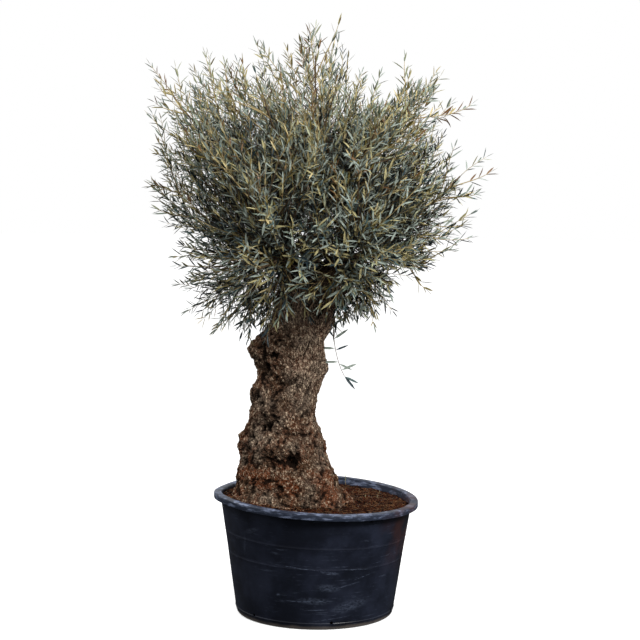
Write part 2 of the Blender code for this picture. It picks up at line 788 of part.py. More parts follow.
def main():
    clear_scene()
    make_tub()
    make_soil()
    trunk = make_trunk()
    make_crown(trunk, make_boughs())
    make_hanging_shoot(trunk)


main()
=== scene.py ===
# %% [markdown]
# # An old olive tree in its nursery tub
# This lesson dresses a plain model of an olive tree. The model already stands as fixed solids: a
# tub, its soil, a trunk, seven boughs and one solid for each mass of foliage. Each step below
# takes one of them, looks at what it is on the real tree, and builds a finer piece in its place.
# All lengths are metres, all angles degrees, +Z is up and -Y is the side that faces the camera.

# %% Load the fixed solids
import math
import random

import bmesh
import bpy
import numpy as np
from mathutils import Matrix, Vector, noise
from mathutils.bvhtree import BVHTree


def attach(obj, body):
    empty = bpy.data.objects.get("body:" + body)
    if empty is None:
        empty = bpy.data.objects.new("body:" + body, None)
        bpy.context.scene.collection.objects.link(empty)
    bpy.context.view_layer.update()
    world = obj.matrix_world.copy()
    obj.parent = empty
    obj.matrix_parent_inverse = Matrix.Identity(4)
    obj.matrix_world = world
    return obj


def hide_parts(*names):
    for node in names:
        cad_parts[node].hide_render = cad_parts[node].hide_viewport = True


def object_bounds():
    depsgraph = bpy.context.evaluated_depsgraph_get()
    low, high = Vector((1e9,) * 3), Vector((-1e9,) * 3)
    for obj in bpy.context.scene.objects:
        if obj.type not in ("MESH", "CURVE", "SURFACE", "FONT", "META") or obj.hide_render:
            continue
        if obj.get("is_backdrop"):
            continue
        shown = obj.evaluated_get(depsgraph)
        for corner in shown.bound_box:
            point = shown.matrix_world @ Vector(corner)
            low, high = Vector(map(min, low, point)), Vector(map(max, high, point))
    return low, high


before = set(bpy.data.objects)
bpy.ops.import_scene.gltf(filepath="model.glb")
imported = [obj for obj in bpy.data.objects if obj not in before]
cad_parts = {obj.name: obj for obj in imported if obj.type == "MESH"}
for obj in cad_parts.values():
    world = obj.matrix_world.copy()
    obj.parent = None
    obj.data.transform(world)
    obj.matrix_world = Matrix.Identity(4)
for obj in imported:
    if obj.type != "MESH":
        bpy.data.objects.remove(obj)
solid_box = [list(corner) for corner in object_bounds()]
UP = Vector((0, 0, 1))
print("nodes:", len(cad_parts), "box:", [[round(v, 3) for v in c] for c in solid_box])

# %% [markdown]
# ## Camera
# A tall tree seen from some nine metres away keeps its trunk almost free of perspective.
# A long lens does the same here. The camera stands a little under the crown's height and looks
# slightly down, so that the round mouth of the tub shows as a flat ellipse.

# %% Set up the camera
CAMERA_PLACE = (0.008, -9.140, 2.444)
CAMERA_PITCH = 6.30
CAMERA_ROLL = 0.76
LENS = 106.6

lens = bpy.data.cameras.new("camera")
lens.lens = LENS
lens.sensor_width = 36
camera = bpy.data.objects.new("camera", lens)
bpy.context.scene.collection.objects.link(camera)
camera.matrix_world = (
    Matrix.Translation(CAMERA_PLACE)
    @ Matrix.Rotation(math.radians(90 - CAMERA_PITCH), 4, "X")
    @ Matrix.Rotation(math.radians(CAMERA_ROLL), 4, "Z")
)
bpy.context.scene.camera = camera
print("camera lens:", LENS, "mm")

# %% [markdown]
# ## Light, floor and backdrop
# A plant is lit well by a sky: bright above, weaker at the horizon and dark below, so that the
# crown's underside and the gaps between its leaves fall into shade. A gradient world gives that,
# and one broad lamp high on the right models the trunk. The floor and the paper behind the tree
# are bright, but ray visibility keeps them from throwing light back up into the crown.

# %% Make the light, the floor and the backdrop
SKY_LIGHT, HORIZON_LIGHT, GROUND_LIGHT = 1.10, 0.42, 0.04
LAMPS = (
    ("key_light", (3.4, -4.6, 5.2), 2.0, 470),
    ("rim_light", (-4.0, 1.5, 4.5), 2.4, 160),
)
FLOOR_SIZE = 60
BACKDROP_RADIUS = 28
FLOOR_GLOW = 0.40
GROUND_END, HORIZON_AT = 0.42, 0.52  # from 0 straight down to 1 straight up
LAMP_AIM = Vector((0, 0, 1.4))
FLOOR_DROP = 0.001

scene = bpy.context.scene
scene.view_settings.view_transform = "Standard"
world = scene.world or bpy.data.worlds.new("room")
scene.world = world
world.use_nodes = True
sky_nodes = world.node_tree.nodes
background = sky_nodes["Background"]
sky_place = sky_nodes.new("ShaderNodeTexCoord")
sky_split = sky_nodes.new("ShaderNodeSeparateXYZ")
sky_ramp = sky_nodes.new("ShaderNodeValToRGB")
sky_height = sky_nodes.new("ShaderNodeMapRange")
sky_height.inputs["From Min"].default_value = -1
sky_ramp.color_ramp.elements[0].color = (GROUND_LIGHT,) * 3 + (1,)
sky_ramp.color_ramp.elements[0].position = GROUND_END
sky_ramp.color_ramp.elements[1].color = (SKY_LIGHT,) * 3 + (1,)
horizon = sky_ramp.color_ramp.elements.new(HORIZON_AT)
horizon.color = (HORIZON_LIGHT,) * 3 + (1,)
links = world.node_tree.links
links.new(sky_place.outputs["Generated"], sky_split.inputs[0])
links.new(sky_split.outputs["Z"], sky_height.inputs["Value"])
links.new(sky_height.outputs[0], sky_ramp.inputs[0])
links.new(sky_ramp.outputs[0], background.inputs["Color"])

for name, place, size, power in LAMPS:
    lamp = bpy.data.lights.new(name, "AREA")
    lamp.shape, lamp.size, lamp.energy = "DISK", size, power
    holder = bpy.data.objects.new(name, lamp)
    holder.location = place
    holder.rotation_euler = (Vector(place) - LAMP_AIM).to_track_quat("Z", "Y").to_euler()
    scene.collection.objects.link(holder)

bpy.ops.mesh.primitive_plane_add(size=FLOOR_SIZE, location=(0, 0, -FLOOR_DROP))
floor = bpy.context.object
floor.name = "floor"
bpy.ops.mesh.primitive_uv_sphere_add(segments=64, ring_count=32, radius=BACKDROP_RADIUS)
backdrop = bpy.context.object
backdrop.name = "backdrop"
for paper_sheet in (floor, backdrop):
    paper_sheet.visible_diffuse = paper_sheet.visible_glossy = False
    paper_sheet.visible_shadow = paper_sheet.visible_transmission = False
    paper_sheet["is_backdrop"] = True

# %% [markdown]
# ## A small kit for finishes
# Every finish here is a Principled shader with a few nodes in front of it. Written out in full,
# each would take forty lines, so a short class adds the nodes and wires them. Colours are given
# as they look on a screen, from 0 to 255, and turned into the linear values that a shader takes.


# %% Helpers for materials
def tone(red, green, blue):
    """Screen values 0 to 255 as a linear colour."""
    def linear(value):
        value /= 255
        return value / 12.92 if value < 0.04045 else ((value + 0.055) / 1.055) ** 2.4

    return (linear(red), linear(green), linear(blue), 1)


class Finish:
    """A Principled material that grows node by node."""

    def __init__(self, name, colour, roughness, specular=0.5):
        self.material = bpy.data.materials.new(name)
        self.material.use_nodes = True
        self.tree = self.material.node_tree
        self.shader = self.tree.nodes["Principled BSDF"]
        self.shader.inputs["Base Color"].default_value = colour
        self.shader.inputs["Roughness"].default_value = roughness
        self.shader.inputs["Specular IOR Level"].default_value = specular
        self.place = self.node("ShaderNodeTexCoord").outputs["Object"]

    def node(self, kind, **settings):
        made = self.tree.nodes.new(kind)
        for key, value in settings.items():
            setattr(made, key, value)
        return made

    def wire(self, node, **sources):
        """Feeds a node's sockets, each from another node's output or with a plain value."""
        for socket, source in sources.items():
            target = node.inputs[int(socket[1:]) if socket[1:].isdigit() else socket.replace("_", " ")]
            if isinstance(source, bpy.types.NodeSocket):
                self.tree.links.new(source, target)
            else:
                target.default_value = source
        return node

    def stretched(self, scale, turn=(0, 0, 0), vector=None):
        """The object's coordinates, scaled so that a pattern runs along a direction."""
        mapping = self.node("ShaderNodeMapping")
        self.wire(mapping, Vector=vector or self.place, Scale=scale)
        mapping.inputs["Rotation"].default_value = [math.radians(angle) for angle in turn]
        return mapping.outputs[0]

    def noise(self, scale, detail=3, rough=0.55, vector=None):
        cloud = self.node("ShaderNodeTexNoise")
        self.wire(cloud, Vector=vector or self.place, Scale=scale, Detail=detail, Roughness=rough)
        return cloud.outputs["Fac"]

    def window(self, value, low, high, bottom=0.0, top=1.0):
        """Stretches the part of a value between low and high."""
        rescale = self.node("ShaderNodeMapRange", interpolation_type="SMOOTHSTEP")
        self.wire(rescale, Value=value, From_Min=low, From_Max=high, To_Min=bottom, To_Max=top)
        return rescale.outputs[0]

    def sum(self, operation, a, b):
        return self.wire(self.node("ShaderNodeMath", operation=operation), _0=a, _1=b).outputs[0]

    def blend(self, share, a, b, kind="MIX"):
        mix = self.node("ShaderNodeMix", data_type="RGBA", blend_type=kind)
        self.wire(mix, _0=share, _6=a, _7=b)
        return mix.outputs[2]

    def attribute(self, name):
        return self.node("ShaderNodeAttribute", attribute_name=name).outputs["Fac"]

    def bump(self, height, strength, distance):
        made = self.node("ShaderNodeBump")
        self.wire(made, Height=height, Strength=strength, Distance=distance)
        self.tree.links.new(made.outputs[0], self.shader.inputs["Normal"])

    def colour(self, source):
        self.tree.links.new(source, self.shader.inputs["Base Color"])

    def roughness(self, source):
        self.tree.links.new(source, self.shader.inputs["Roughness"])


for sheet, name, screen, glow in (
    (floor, "floor_paper", (238, 238, 238), FLOOR_GLOW),
    (backdrop, "backdrop_paper", (0, 0, 0), 1.0),
):
    paper = Finish(name, tone(*screen), 0.9, specular=0.0)
    paper.shader.inputs["Emission Color"].default_value = (1, 1, 1, 1)
    paper.shader.inputs["Emission Strength"].default_value = glow
    sheet.data.materials.append(paper.material)

# %% [markdown]
# ## A small kit for meshes
# A new piece is a mesh made from lists of points and faces. Three calls then tie it to the solid
# model: the body that it rides on, the solids that it stands for, and the finish that it takes.


# %% Helpers for meshes
def add_piece(name, points, faces, finishes, stands_for, tints=None, smooth=True):
    """One mesh object, tied to the solids that it stands for."""
    mesh = bpy.data.meshes.new(name)
    mesh.from_pydata(points, [], faces)
    for finish in finishes:
        mesh.materials.append(finish.material)
    if tints is not None:
        mesh.polygons.foreach_set("material_index", tints)
    if smooth:
        mesh.shade_smooth()
    piece = bpy.data.objects.new(name, mesh)
    scene.collection.objects.link(piece)
    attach(piece, "root")
    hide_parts(*stands_for)
    return piece


def grid_faces(rows, columns, first=0):
    """Quads between rows of points that each close into a ring."""
    row, column = np.meshgrid(np.arange(rows - 1), np.arange(columns), indexing="ij")
    after = (column + 1) % columns
    low, high = first + row * columns, first + (row + 1) * columns
    return np.stack([low + column, low + after, high + after, high + column], -1).reshape(-1, 4).tolist()


def give_attribute(piece, name, values):
    piece.data.attributes.new(name, "FLOAT", "POINT").data.foreach_set("value", values)


def turn_between(a, b):
    """Degrees from azimuth b to azimuth a, from -180 to 180."""
    return (a - b + 180) % 360 - 180


def smooth_step(low, high, value):
    share = np.clip((value - low) / (high - low), 0, 1)
    return share * share * (3 - 2 * share)


def read_rows(rows, values):
    """Smooth reading of a table whose first column is the place."""
    rows = np.array(rows)
    low = np.clip(np.searchsorted(rows[:, 0], values, side="right") - 1, 0, len(rows) - 2)
    share = smooth_step(rows[low, 0], rows[low + 1, 0], values)[..., None]
    return rows[low, 1:] * (1 - share) + rows[low + 1, 1:] * share


# %% [markdown]
# ## The tub
# A nursery tub is blow-moulded from black polyethylene with a rolled lip whose skirt turns down,
# fins under the skirt, two faint mould lines round the wall and small drain holes at its foot.
# A profile turned about the axis gives all of it but the fins and the holes, and a Boolean adds
# and cuts those. The weight of the soil has pulled the rim askew, so the turned shape is skewed
# afterwards: every height is scaled by how far the rim has dropped there.

# %% Shape the tub's wall
TUB_HEIGHT = 0.581
TUB_SIDES = 160
FOOT_RADIUS = 0.384
MOUTH_RADIUS = 0.470
WALL = 0.008
TUB_FLOOR = 0.014
RIM_RADIUS = 0.500
LIP_DROP = 0.030
LIP_SHEET = 0.006
RIM_TILT = 2.72
RIM_SAG = 0.021
SAG_AZIMUTH = 160
SAG_SPREAD = 30
MOULD_LINES = (0.300, 0.402)
MOULD_RISE = 0.0006
FOOT_STEP = 0.034
FOOT_LEDGE = 0.0018
PROFILE_STEP = 0.02
DENT = 0.0022


def wall_radius(height):
    return FOOT_RADIUS + (MOUTH_RADIUS - FOOT_RADIUS) * height / TUB_HEIGHT


def settle(point):
    """The rim is higher at -X than at +X, and the foot is level."""
    drop = point[0] * math.tan(math.radians(RIM_TILT)) / TUB_HEIGHT
    return Vector((point[0], point[1], point[2] * (1 - drop)))


def quarter(centre, radius, start, steps=4):
    """Points of a quarter turn in a profile, from a start angle."""
    for step in range(steps + 1):
        a = math.radians(start + 90 * step / steps)
        yield (centre[0] + radius * math.cos(a), centre[1] + radius * math.sin(a))


def wall_profile():
    """Radius and height, up the outside, over the lip and down the inside."""
    round_off, lip_round = 0.010, 0.007
    yield from quarter((FOOT_RADIUS - round_off, round_off), round_off, -90)
    yield (wall_radius(FOOT_STEP) + FOOT_LEDGE, FOOT_STEP - 0.003)
    yield (wall_radius(FOOT_STEP), FOOT_STEP)
    height = FOOT_STEP + PROFILE_STEP
    while height < TUB_HEIGHT - LIP_SHEET - 0.03:
        yield (wall_radius(height), height)
        for line in MOULD_LINES:
            if height < line <= height + PROFILE_STEP:
                for offset, rise in ((-0.003, 0), (-0.001, 1), (0.001, 1), (0.003, 0)):
                    yield (wall_radius(line) + rise * MOULD_RISE, line + offset)
        height += PROFILE_STEP
    under = TUB_HEIGHT - LIP_SHEET
    skirt = RIM_RADIUS - LIP_SHEET
    yield (wall_radius(under), under - 0.004)
    yield (wall_radius(under) + 0.004, under)
    yield (skirt - 0.003, under)
    yield (skirt, under - 0.003)
    yield (skirt, TUB_HEIGHT - LIP_DROP + 0.002)
    yield from quarter((RIM_RADIUS - 0.003, TUB_HEIGHT - LIP_DROP + 0.003), 0.003, -90, 2)
    yield from quarter((RIM_RADIUS - lip_round, TUB_HEIGHT - lip_round), lip_round, 0)
    inner = wall_radius(TUB_HEIGHT) - WALL
    yield from quarter((inner + lip_round, TUB_HEIGHT - lip_round), lip_round, 90)
    yield (wall_radius(TUB_HEIGHT - 0.06) - WALL, TUB_HEIGHT - 0.06)
    yield (wall_radius(TUB_FLOOR) - WALL, TUB_FLOOR)


def turned(name, profile, sides):
    """A closed solid turned about Z from its profile, as a bare object."""
    turn = np.radians(np.arange(sides) * 360 / sides)
    rings = [np.stack([r * np.cos(turn), r * np.sin(turn), np.full(sides, z)], 1) for r, z in profile]
    faces = grid_faces(len(rings), sides)
    faces.append(list(range(sides))[::-1])
    faces.append([(len(rings) - 1) * sides + k for k in range(sides)])
    mesh = bpy.data.meshes.new(name)
    mesh.from_pydata(np.concatenate(rings).tolist(), [], faces)
    made = bpy.data.objects.new(name, mesh)
    scene.collection.objects.link(made)
    return made


tub = turned("tub_shell", wall_profile(), TUB_SIDES)
print("tub profile turned:", len(tub.data.vertices), "points")

# %% [markdown]
# The fins and the drain holes come next. A fin is a thin upright sheet between the wall and the
# skirt, so its outline is drawn once and given a thickness. One Boolean union takes all fins and
# one difference takes all drill bits, which is quicker than one modifier for each.

# %% Add the fins and drill the drain holes
DRAIN_HOLES = 6
DRAIN_RADIUS = 0.008
DRAIN_HEIGHT = 0.035
DRILL_SIDES = 20
DRILL_REACH = 0.03
FIRST_DRAIN = -78
FINS = 7
FIN_SHEET = 0.005
FIN_DEPTH = 0.046
FIRST_FIN = -159
DENT_SCALE = 4.5
SHARP_ANGLE = 38


def fin(k):
    heel = wall_radius(TUB_HEIGHT) - WALL / 2
    toe = RIM_RADIUS - LIP_SHEET / 2
    head = TUB_HEIGHT - LIP_SHEET / 2
    outline = (
        (heel, head),
        (toe, head),
        (toe, TUB_HEIGHT - LIP_DROP * 0.9),
        (heel + 0.004, TUB_HEIGHT - FIN_DEPTH),
        (heel - 0.002, TUB_HEIGHT - FIN_DEPTH),
    )
    points = [(r, side * FIN_SHEET / 2, z) for side in (1, -1) for r, z in outline]
    faces = grid_faces(2, 5) + [[4, 3, 2, 1, 0], [5, 6, 7, 8, 9]]
    return cutter(f"fin_{k}", points, faces, FIRST_FIN + 360 * k / FINS)


def drill(k):
    middle = wall_radius(DRAIN_HEIGHT) - WALL / 2
    turn = [math.radians(360 * i / DRILL_SIDES) for i in range(DRILL_SIDES)]
    points = [
        (middle + reach, DRAIN_RADIUS * math.cos(a), DRAIN_HEIGHT + DRAIN_RADIUS * math.sin(a))
        for reach in (-DRILL_REACH, DRILL_REACH)
        for a in turn
    ]
    ends = [list(range(DRILL_SIDES))[::-1], list(range(DRILL_SIDES, 2 * DRILL_SIDES))]
    faces = grid_faces(2, DRILL_SIDES) + ends
    return cutter(f"drill_{k}", points, faces, FIRST_DRAIN + 360 * k / DRAIN_HOLES)


def cutter(name, points, faces, azimuth):
    mesh = bpy.data.meshes.new(name)
    mesh.from_pydata(points, [], faces)
    shape = bmesh.new()
    shape.from_mesh(mesh)
    bmesh.ops.recalc_face_normals(shape, faces=shape.faces)
    shape.to_mesh(mesh)
    shape.free()
    mesh.transform(Matrix.Rotation(math.radians(azimuth), 4, "Z"))
    return bpy.data.objects.new(name, mesh)


def apply_boolean(target, helpers, operation):
    group = bpy.data.collections.new(operation)
    scene.collection.children.link(group)
    for helper in helpers:
        group.objects.link(helper)
    joint = target.modifiers.new(operation, "BOOLEAN")
    joint.operation, joint.operand_type, joint.collection = operation, "COLLECTION", group
    joint.solver = "EXACT"
    bpy.context.view_layer.update()
    evaluated = target.evaluated_get(bpy.context.evaluated_depsgraph_get())
    result = bpy.data.meshes.new_from_object(evaluated)
    target.modifiers.clear()
    target.data = result
    for helper in helpers:
        bpy.data.objects.remove(helper)
    bpy.data.collections.remove(group)


apply_boolean(tub, [fin(k) for k in range(FINS)], "UNION")
apply_boolean(tub, [drill(k) for k in range(DRAIN_HOLES)], "DIFFERENCE")

for vertex in tub.data.vertices:
    azimuth = math.degrees(math.atan2(vertex.co.y, vertex.co.x))
    height_share = vertex.co.z / TUB_HEIGHT
    dent = noise.noise(vertex.co * DENT_SCALE) * DENT * math.sin(math.pi * min(height_share, 1))
    out = Vector((vertex.co.x, vertex.co.y, 0)).normalized()
    sag = RIM_SAG * math.exp(-((turn_between(azimuth, SAG_AZIMUTH) / SAG_SPREAD) ** 2))
    vertex.co = settle(vertex.co + out * dent)
    vertex.co.z *= 1 - sag / TUB_HEIGHT
tub.data.shade_smooth()
tub.data.set_sharp_from_angle(angle=math.radians(SHARP_ANGLE))
print("tub:", len(tub.data.polygons), "faces")

# %% [markdown]
# Black polyethylene that has stood outdoors is not black. It is a deep blue-black with a dusty
# bloom, the lip has chalked to slate, soil has run down one side, and years of dragging have
# left pale scuffs. The lip's pale streaks are also painted highlight along its top. The scuffs
# are soft ellipses placed one by one, broken up by a noise: each is
# a mapping that turns a long thin box into a ball, so its distance from the centre is the mask.

# %% Finish the tub
# Scuffs: middle X, middle height, length, width, slope and strength.
SCUFFS = (
    (-0.062, 0.312, 0.330, 0.0050, -5, 0.55),
    (0.075, 0.292, 0.110, 0.0220, -9, 0.50),
    (0.205, 0.300, 0.200, 0.0060, -4, 0.40),
    (0.160, 0.225, 0.160, 0.0080, 12, 0.45),
    (0.235, 0.262, 0.110, 0.0040, 16, 0.55),
    (-0.030, 0.148, 0.330, 0.0075, 1, 0.60),
    (-0.165, 0.172, 0.025, 0.0200, 0, 0.50),
    (0.020, 0.105, 0.160, 0.0060, 3, 0.55),
    (0.000, 0.150, 0.200, 0.0500, -3, 0.30),
    (0.175, 0.120, 0.230, 0.0700, 14, 0.30),
    (0.070, 0.215, 0.140, 0.0500, -6, 0.30),
    (0.090, 0.060, 0.260, 0.0060, 8, 0.35),
    (-0.300, 0.470, 0.110, 0.0300, 30, 0.25),
    (-0.330, 0.390, 0.014, 0.1500, 0, 0.25),
)

RIM_SLOPE = 0.0475  # how far the rim drops for each metre towards +X
LIP_STARTS = 0.545
SCUFF_PLACE = -0.43  # in Y, on the tub's front
SCUFF_GAIN = 1.05

plastic = Finish("weathered_black_plastic", tone(24, 29, 40), 0.42, specular=0.22)
split = plastic.wire(plastic.node("ShaderNodeSeparateXYZ"), Vector=plastic.place)
side_in_tub, _, height_in_tub = split.outputs
bloom = plastic.window(plastic.noise(5, 5, 0.62), 0.36, 0.72)
base = plastic.blend(bloom, tone(20, 23, 32), tone(34, 39, 54))
level = plastic.sum("ADD", height_in_tub, plastic.sum("MULTIPLY", side_in_tub, RIM_SLOPE))
# The lip is paler slate: chalked plastic, and its pale streaks are also painted highlight along the lip's
# top.
lip = plastic.window(level, LIP_STARTS, LIP_STARTS + 0.007)
chalk_and_highlight = plastic.window(plastic.noise(16, 5, 0.7, plastic.stretched((1, 1, 4))), 0.46, 0.66)
base = plastic.blend(lip, base, plastic.blend(chalk_and_highlight, tone(40, 46, 60), tone(112, 122, 146)))
wobble = plastic.node("ShaderNodeTexNoise")
plastic.wire(wobble, Vector=plastic.place, Scale=14.0, Detail=3.0)
shaken = plastic.node("ShaderNodeVectorMath", operation="MULTIPLY_ADD")
plastic.wire(shaken, _0=wobble.outputs["Color"], _1=(0.012, 0, 0.012), _2=plastic.place)
marks = 0.0
for x, z, length, width, slope, strength in SCUFFS:
    patch = plastic.node("ShaderNodeMapping", vector_type="TEXTURE")
    middle, size = (x, SCUFF_PLACE, z), (length / 2, 0.4, width / 2)
    plastic.wire(patch, Vector=shaken.outputs[0], Location=middle, Scale=size)
    patch.inputs["Rotation"].default_value = (0, -math.radians(slope), 0)
    away = plastic.wire(plastic.node("ShaderNodeVectorMath", operation="LENGTH"), _0=patch.outputs[0])
    scuff = plastic.window(away.outputs["Value"], 1.0, 0.4, 0.0, strength * SCUFF_GAIN)
    marks = plastic.sum("MAXIMUM", marks, scuff)
grit = plastic.window(plastic.noise(60, 4, 0.7, plastic.stretched((1, 1, 3.2))), 0.38, 0.62)
marks = plastic.sum("MULTIPLY", marks, grit)
hairs = plastic.noise(9, 6, 0.75, plastic.stretched((1, 1, 14), (0, 14, 0)))
marks = plastic.sum("MAXIMUM", marks, plastic.window(hairs, 0.58, 0.70, 0, 0.38))
base = plastic.blend(marks, base, tone(96, 106, 126))
rust = plastic.window(side_in_tub, 0.28, 0.46)
rust = plastic.sum("MULTIPLY", rust, plastic.window(height_in_tub, 0.20, 0.42))
rust = plastic.sum("MULTIPLY", rust, plastic.window(plastic.noise(9, 4), 0.35, 0.70, 0, 0.42))
base = plastic.blend(rust, base, tone(92, 52, 38))
splash = plastic.sum("ADD", height_in_tub, plastic.sum("MULTIPLY", plastic.noise(22, 4), 0.02))
foot_dirt = plastic.window(splash, 0.034, 0.012)
base = plastic.blend(plastic.sum("MULTIPLY", foot_dirt, 0.7), base, tone(120, 112, 104))
plastic.colour(base)
plastic.roughness(plastic.window(plastic.sum("ADD", marks, bloom), 0, 1.4, 0.36, 0.62))
plastic.bump(plastic.noise(130, 4, 0.6), 0.25, 0.001)
tub.data.materials.append(plastic.material)
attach(tub, "root")
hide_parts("tub")
print("scuffs on the tub:", len(SCUFFS))

# %% [markdown]
# ## The soil
# Red nursery soil lies a finger below the lip. It settles in crumbs, heaps a little against the
# trunk and carries a litter of root fibres, bark chips and small stones. The bed itself is one
# relief of noise on a polar grid, so that its outer edge follows the tub's wall all round.

# %% Shape the soil bed
SOIL_TOP = TUB_HEIGHT - 0.032
SOIL_GAP = 0.001
SOIL_RINGS = 90
SOIL_SPOKES = 300
CRUMB_SIZES = ((9, 0.0080), (26, 0.0080), (75, 0.0060))
TRUNK_FOOT = Vector((-0.124, -0.030, 0))


def soil_height(x, y):
    """The bed's relief over its level, at a place in the tub."""
    rise = sum(noise.noise(Vector((x, y, 7)) * scale) * amount for scale, amount in CRUMB_SIZES)
    clods = noise.voronoi(Vector((x, y, 2)) * 42)[0]
    rise += 0.006 * max(0, 0.45 - clods[0])
    heap = 0.016 * math.exp(-((((x - TRUNK_FOOT.x) / 0.33) ** 2 + ((y - TRUNK_FOOT.y) / 0.27) ** 2) ** 2))
    return settle((x, y, SOIL_TOP)).z + rise + heap - 0.004


def make_soil():
    edge = wall_radius(SOIL_TOP) - WALL - SOIL_GAP
    points = []
    for ring in range(SOIL_RINGS):
        radius = edge * (1 - ring / SOIL_RINGS)
        for spoke in range(SOIL_SPOKES):
            a = 2 * math.pi * spoke / SOIL_SPOKES
            x, y = radius * math.cos(a), radius * math.sin(a)
            points.append((x, y, soil_height(x, y)))
    points.append((0, 0, soil_height(0, 0)))
    faces = grid_faces(SOIL_RINGS, SOIL_SPOKES)
    last = (SOIL_RINGS - 1) * SOIL_SPOKES
    faces += [(last + k, last + (k + 1) % SOIL_SPOKES, len(points) - 1) for k in range(SOIL_SPOKES)]
    low = len(points)
    foot = wall_radius(TUB_FLOOR) - WALL - SOIL_GAP
    for radius, height in ((edge, SOIL_TOP - 0.03), (foot, TUB_FLOOR + SOIL_GAP)):
        for spoke in range(SOIL_SPOKES):
            a = 2 * math.pi * spoke / SOIL_SPOKES
            points.append(tuple(settle((radius * math.cos(a), radius * math.sin(a), height))))
    faces += [(low + (k + 1) % SOIL_SPOKES, (k + 1) % SOIL_SPOKES, k, low + k) for k in range(SOIL_SPOKES)]
    faces += [face[::-1] for face in grid_faces(2, SOIL_SPOKES, low)]
    faces.append([low + SOIL_SPOKES + k for k in range(SOIL_SPOKES)][::-1])
    return add_piece("soil_bed", points, faces, [earth], ["soil"])


earth = Finish("red_nursery_soil", tone(84, 46, 28), 0.95, specular=0.03)
crumbs = earth.window(earth.noise(60, 5, 0.75), 0.44, 0.66)
base = earth.blend(crumbs, tone(12, 6, 4), tone(86, 43, 25))
damp = earth.window(earth.noise(6, 3), 0.40, 0.62, 0, 0.55)
base = earth.blend(damp, base, tone(32, 20, 14))
chips = earth.window(earth.noise(190, 2, 0.5), 0.66, 0.74, 0, 0.8)
base = earth.blend(chips, base, tone(112, 76, 52))
earth.colour(base)
earth.bump(earth.noise(130, 5, 0.8), 1.0, 0.008)
soil = make_soil()
print("soil bed:", len(soil.data.polygons), "faces")

# %% [markdown]
# The litter is two joined meshes: curled fibres, and pebbles with chips and crumbs. Every item is
# scattered by a seeded draw and laid on the height that the bed has at its place, so
# nothing floats. Joined meshes keep the object count low.

# %% Scatter litter on the soil
LITTER_SEED = 11
FIBRES = 1500
PEBBLES = 1100
WALL_CLEAR = 0.012
TRUNK_OVAL = (0.255, 0.20)


def litter_place(chance):
    """A random place on the bed that is clear of the trunk."""
    while True:
        radius = (wall_radius(SOIL_TOP) - WALL - WALL_CLEAR) * math.sqrt(chance.random())
        a = chance.uniform(0, 2 * math.pi)
        place = Vector((radius * math.cos(a), radius * math.sin(a), 0))
        off = place - TRUNK_FOOT
        if (off.x / TRUNK_OVAL[0]) ** 2 + (off.y / TRUNK_OVAL[1]) ** 2 > 1:
            return place


class Heap:
    """Many small closed shapes gathered into one mesh."""

    def __init__(self):
        self.points, self.faces, self.tints, self.count = [], [], [], 0

    def add(self, points, faces, tint=0):
        points = np.asarray(points, float)
        self.faces += (np.asarray(faces) + self.count).tolist()
        self.tints += [tint] * len(faces)
        self.points.append(points)
        self.count += len(points)

    def build(self, name, finishes, stands_for, finish_slot, smooth=True):
        points = np.concatenate(self.points).tolist()
        return add_piece(name, points, self.faces, finishes, stands_for, self.tints, smooth)


def tube_points(path, radii, sides):
    """Rings of points round a gently curved path."""
    path, radii = np.asarray(path, float), np.asarray(radii, float)
    along = np.gradient(path, axis=0)
    along /= np.linalg.norm(along, axis=1)[:, None]
    least = np.eye(3)[np.abs(path[-1] - path[0]).argmin()]
    side = np.cross(along, least)
    side /= np.linalg.norm(side, axis=1)[:, None]
    across = np.cross(along, side)
    turn = 2 * np.pi * np.arange(sides) / sides
    rings = side[:, None] * np.cos(turn)[None, :, None] + across[:, None] * np.sin(turn)[None, :, None]
    return (path[:, None] + rings * radii[:, None, None]).reshape(-1, 3)


def tube_faces(rings, sides):
    """Triangles of a tube that is closed at both ends by a fan."""
    faces = []
    for a, b, c, d in grid_faces(rings, sides):
        faces += [(a, b, c), (a, c, d)]
    last = (rings - 1) * sides
    faces += [(0, k + 1, k) for k in range(1, sides - 1)]
    faces += [(last, last + k, last + k + 1) for k in range(1, sides - 1)]
    return faces


PEBBLE_POINTS = np.array([(1, 0, 0), (-1, 0, 0), (0, 1, 0), (0, -1, 0), (0, 0, 1), (0, 0, -1)], float)
PEBBLE_FACES = [(0, 2, 4), (2, 1, 4), (1, 3, 4), (3, 0, 4), (2, 0, 5), (1, 2, 5), (3, 1, 5), (0, 3, 5)]


def scatter_litter():
    chance = random.Random(LITTER_SEED)
    fibres, pebbles = Heap(), Heap()
    faces = tube_faces(4, 3)
    for _ in range(FIBRES):
        place, heading = litter_place(chance), chance.uniform(0, 2 * math.pi)
        step, path = chance.uniform(0.004, 0.012), []
        for _ in range(4):
            lift = chance.uniform(0, 0.0035)
            path.append((place.x, place.y, soil_height(place.x, place.y) + lift))
            heading += chance.uniform(-0.7, 0.7)
            place = place + Vector((math.cos(heading), math.sin(heading), 0)) * step
        thick = chance.uniform(0.0004, 0.0011)
        points = tube_points(path, [thick, thick, thick, thick * 0.5], 3)
        fibres.add(points, faces, chance.choice((0, 0, 1, 2)))
    for _ in range(PEBBLES):
        place = litter_place(chance)
        size = 0.0022 + 0.0050 * chance.random() ** 3
        spin = Matrix.Rotation(chance.uniform(0, 6.28), 3, "Z")
        turn = spin @ Matrix.Rotation(chance.uniform(-0.4, 0.4), 3, "X")
        shape = PEBBLE_POINTS * (size, size * chance.uniform(0.5, 1), size * chance.uniform(0.3, 0.7))
        shape = shape + np.array([[chance.uniform(-0.2, 0.2) * size for _ in range(3)] for _ in range(6)])
        centre = np.array((place.x, place.y, soil_height(place.x, place.y) + size * 0.15))
        pebbles.add(shape @ np.array(turn).T + centre, PEBBLE_FACES, chance.choice((0, 0, 1, 2, 3)))
    return fibres, pebbles


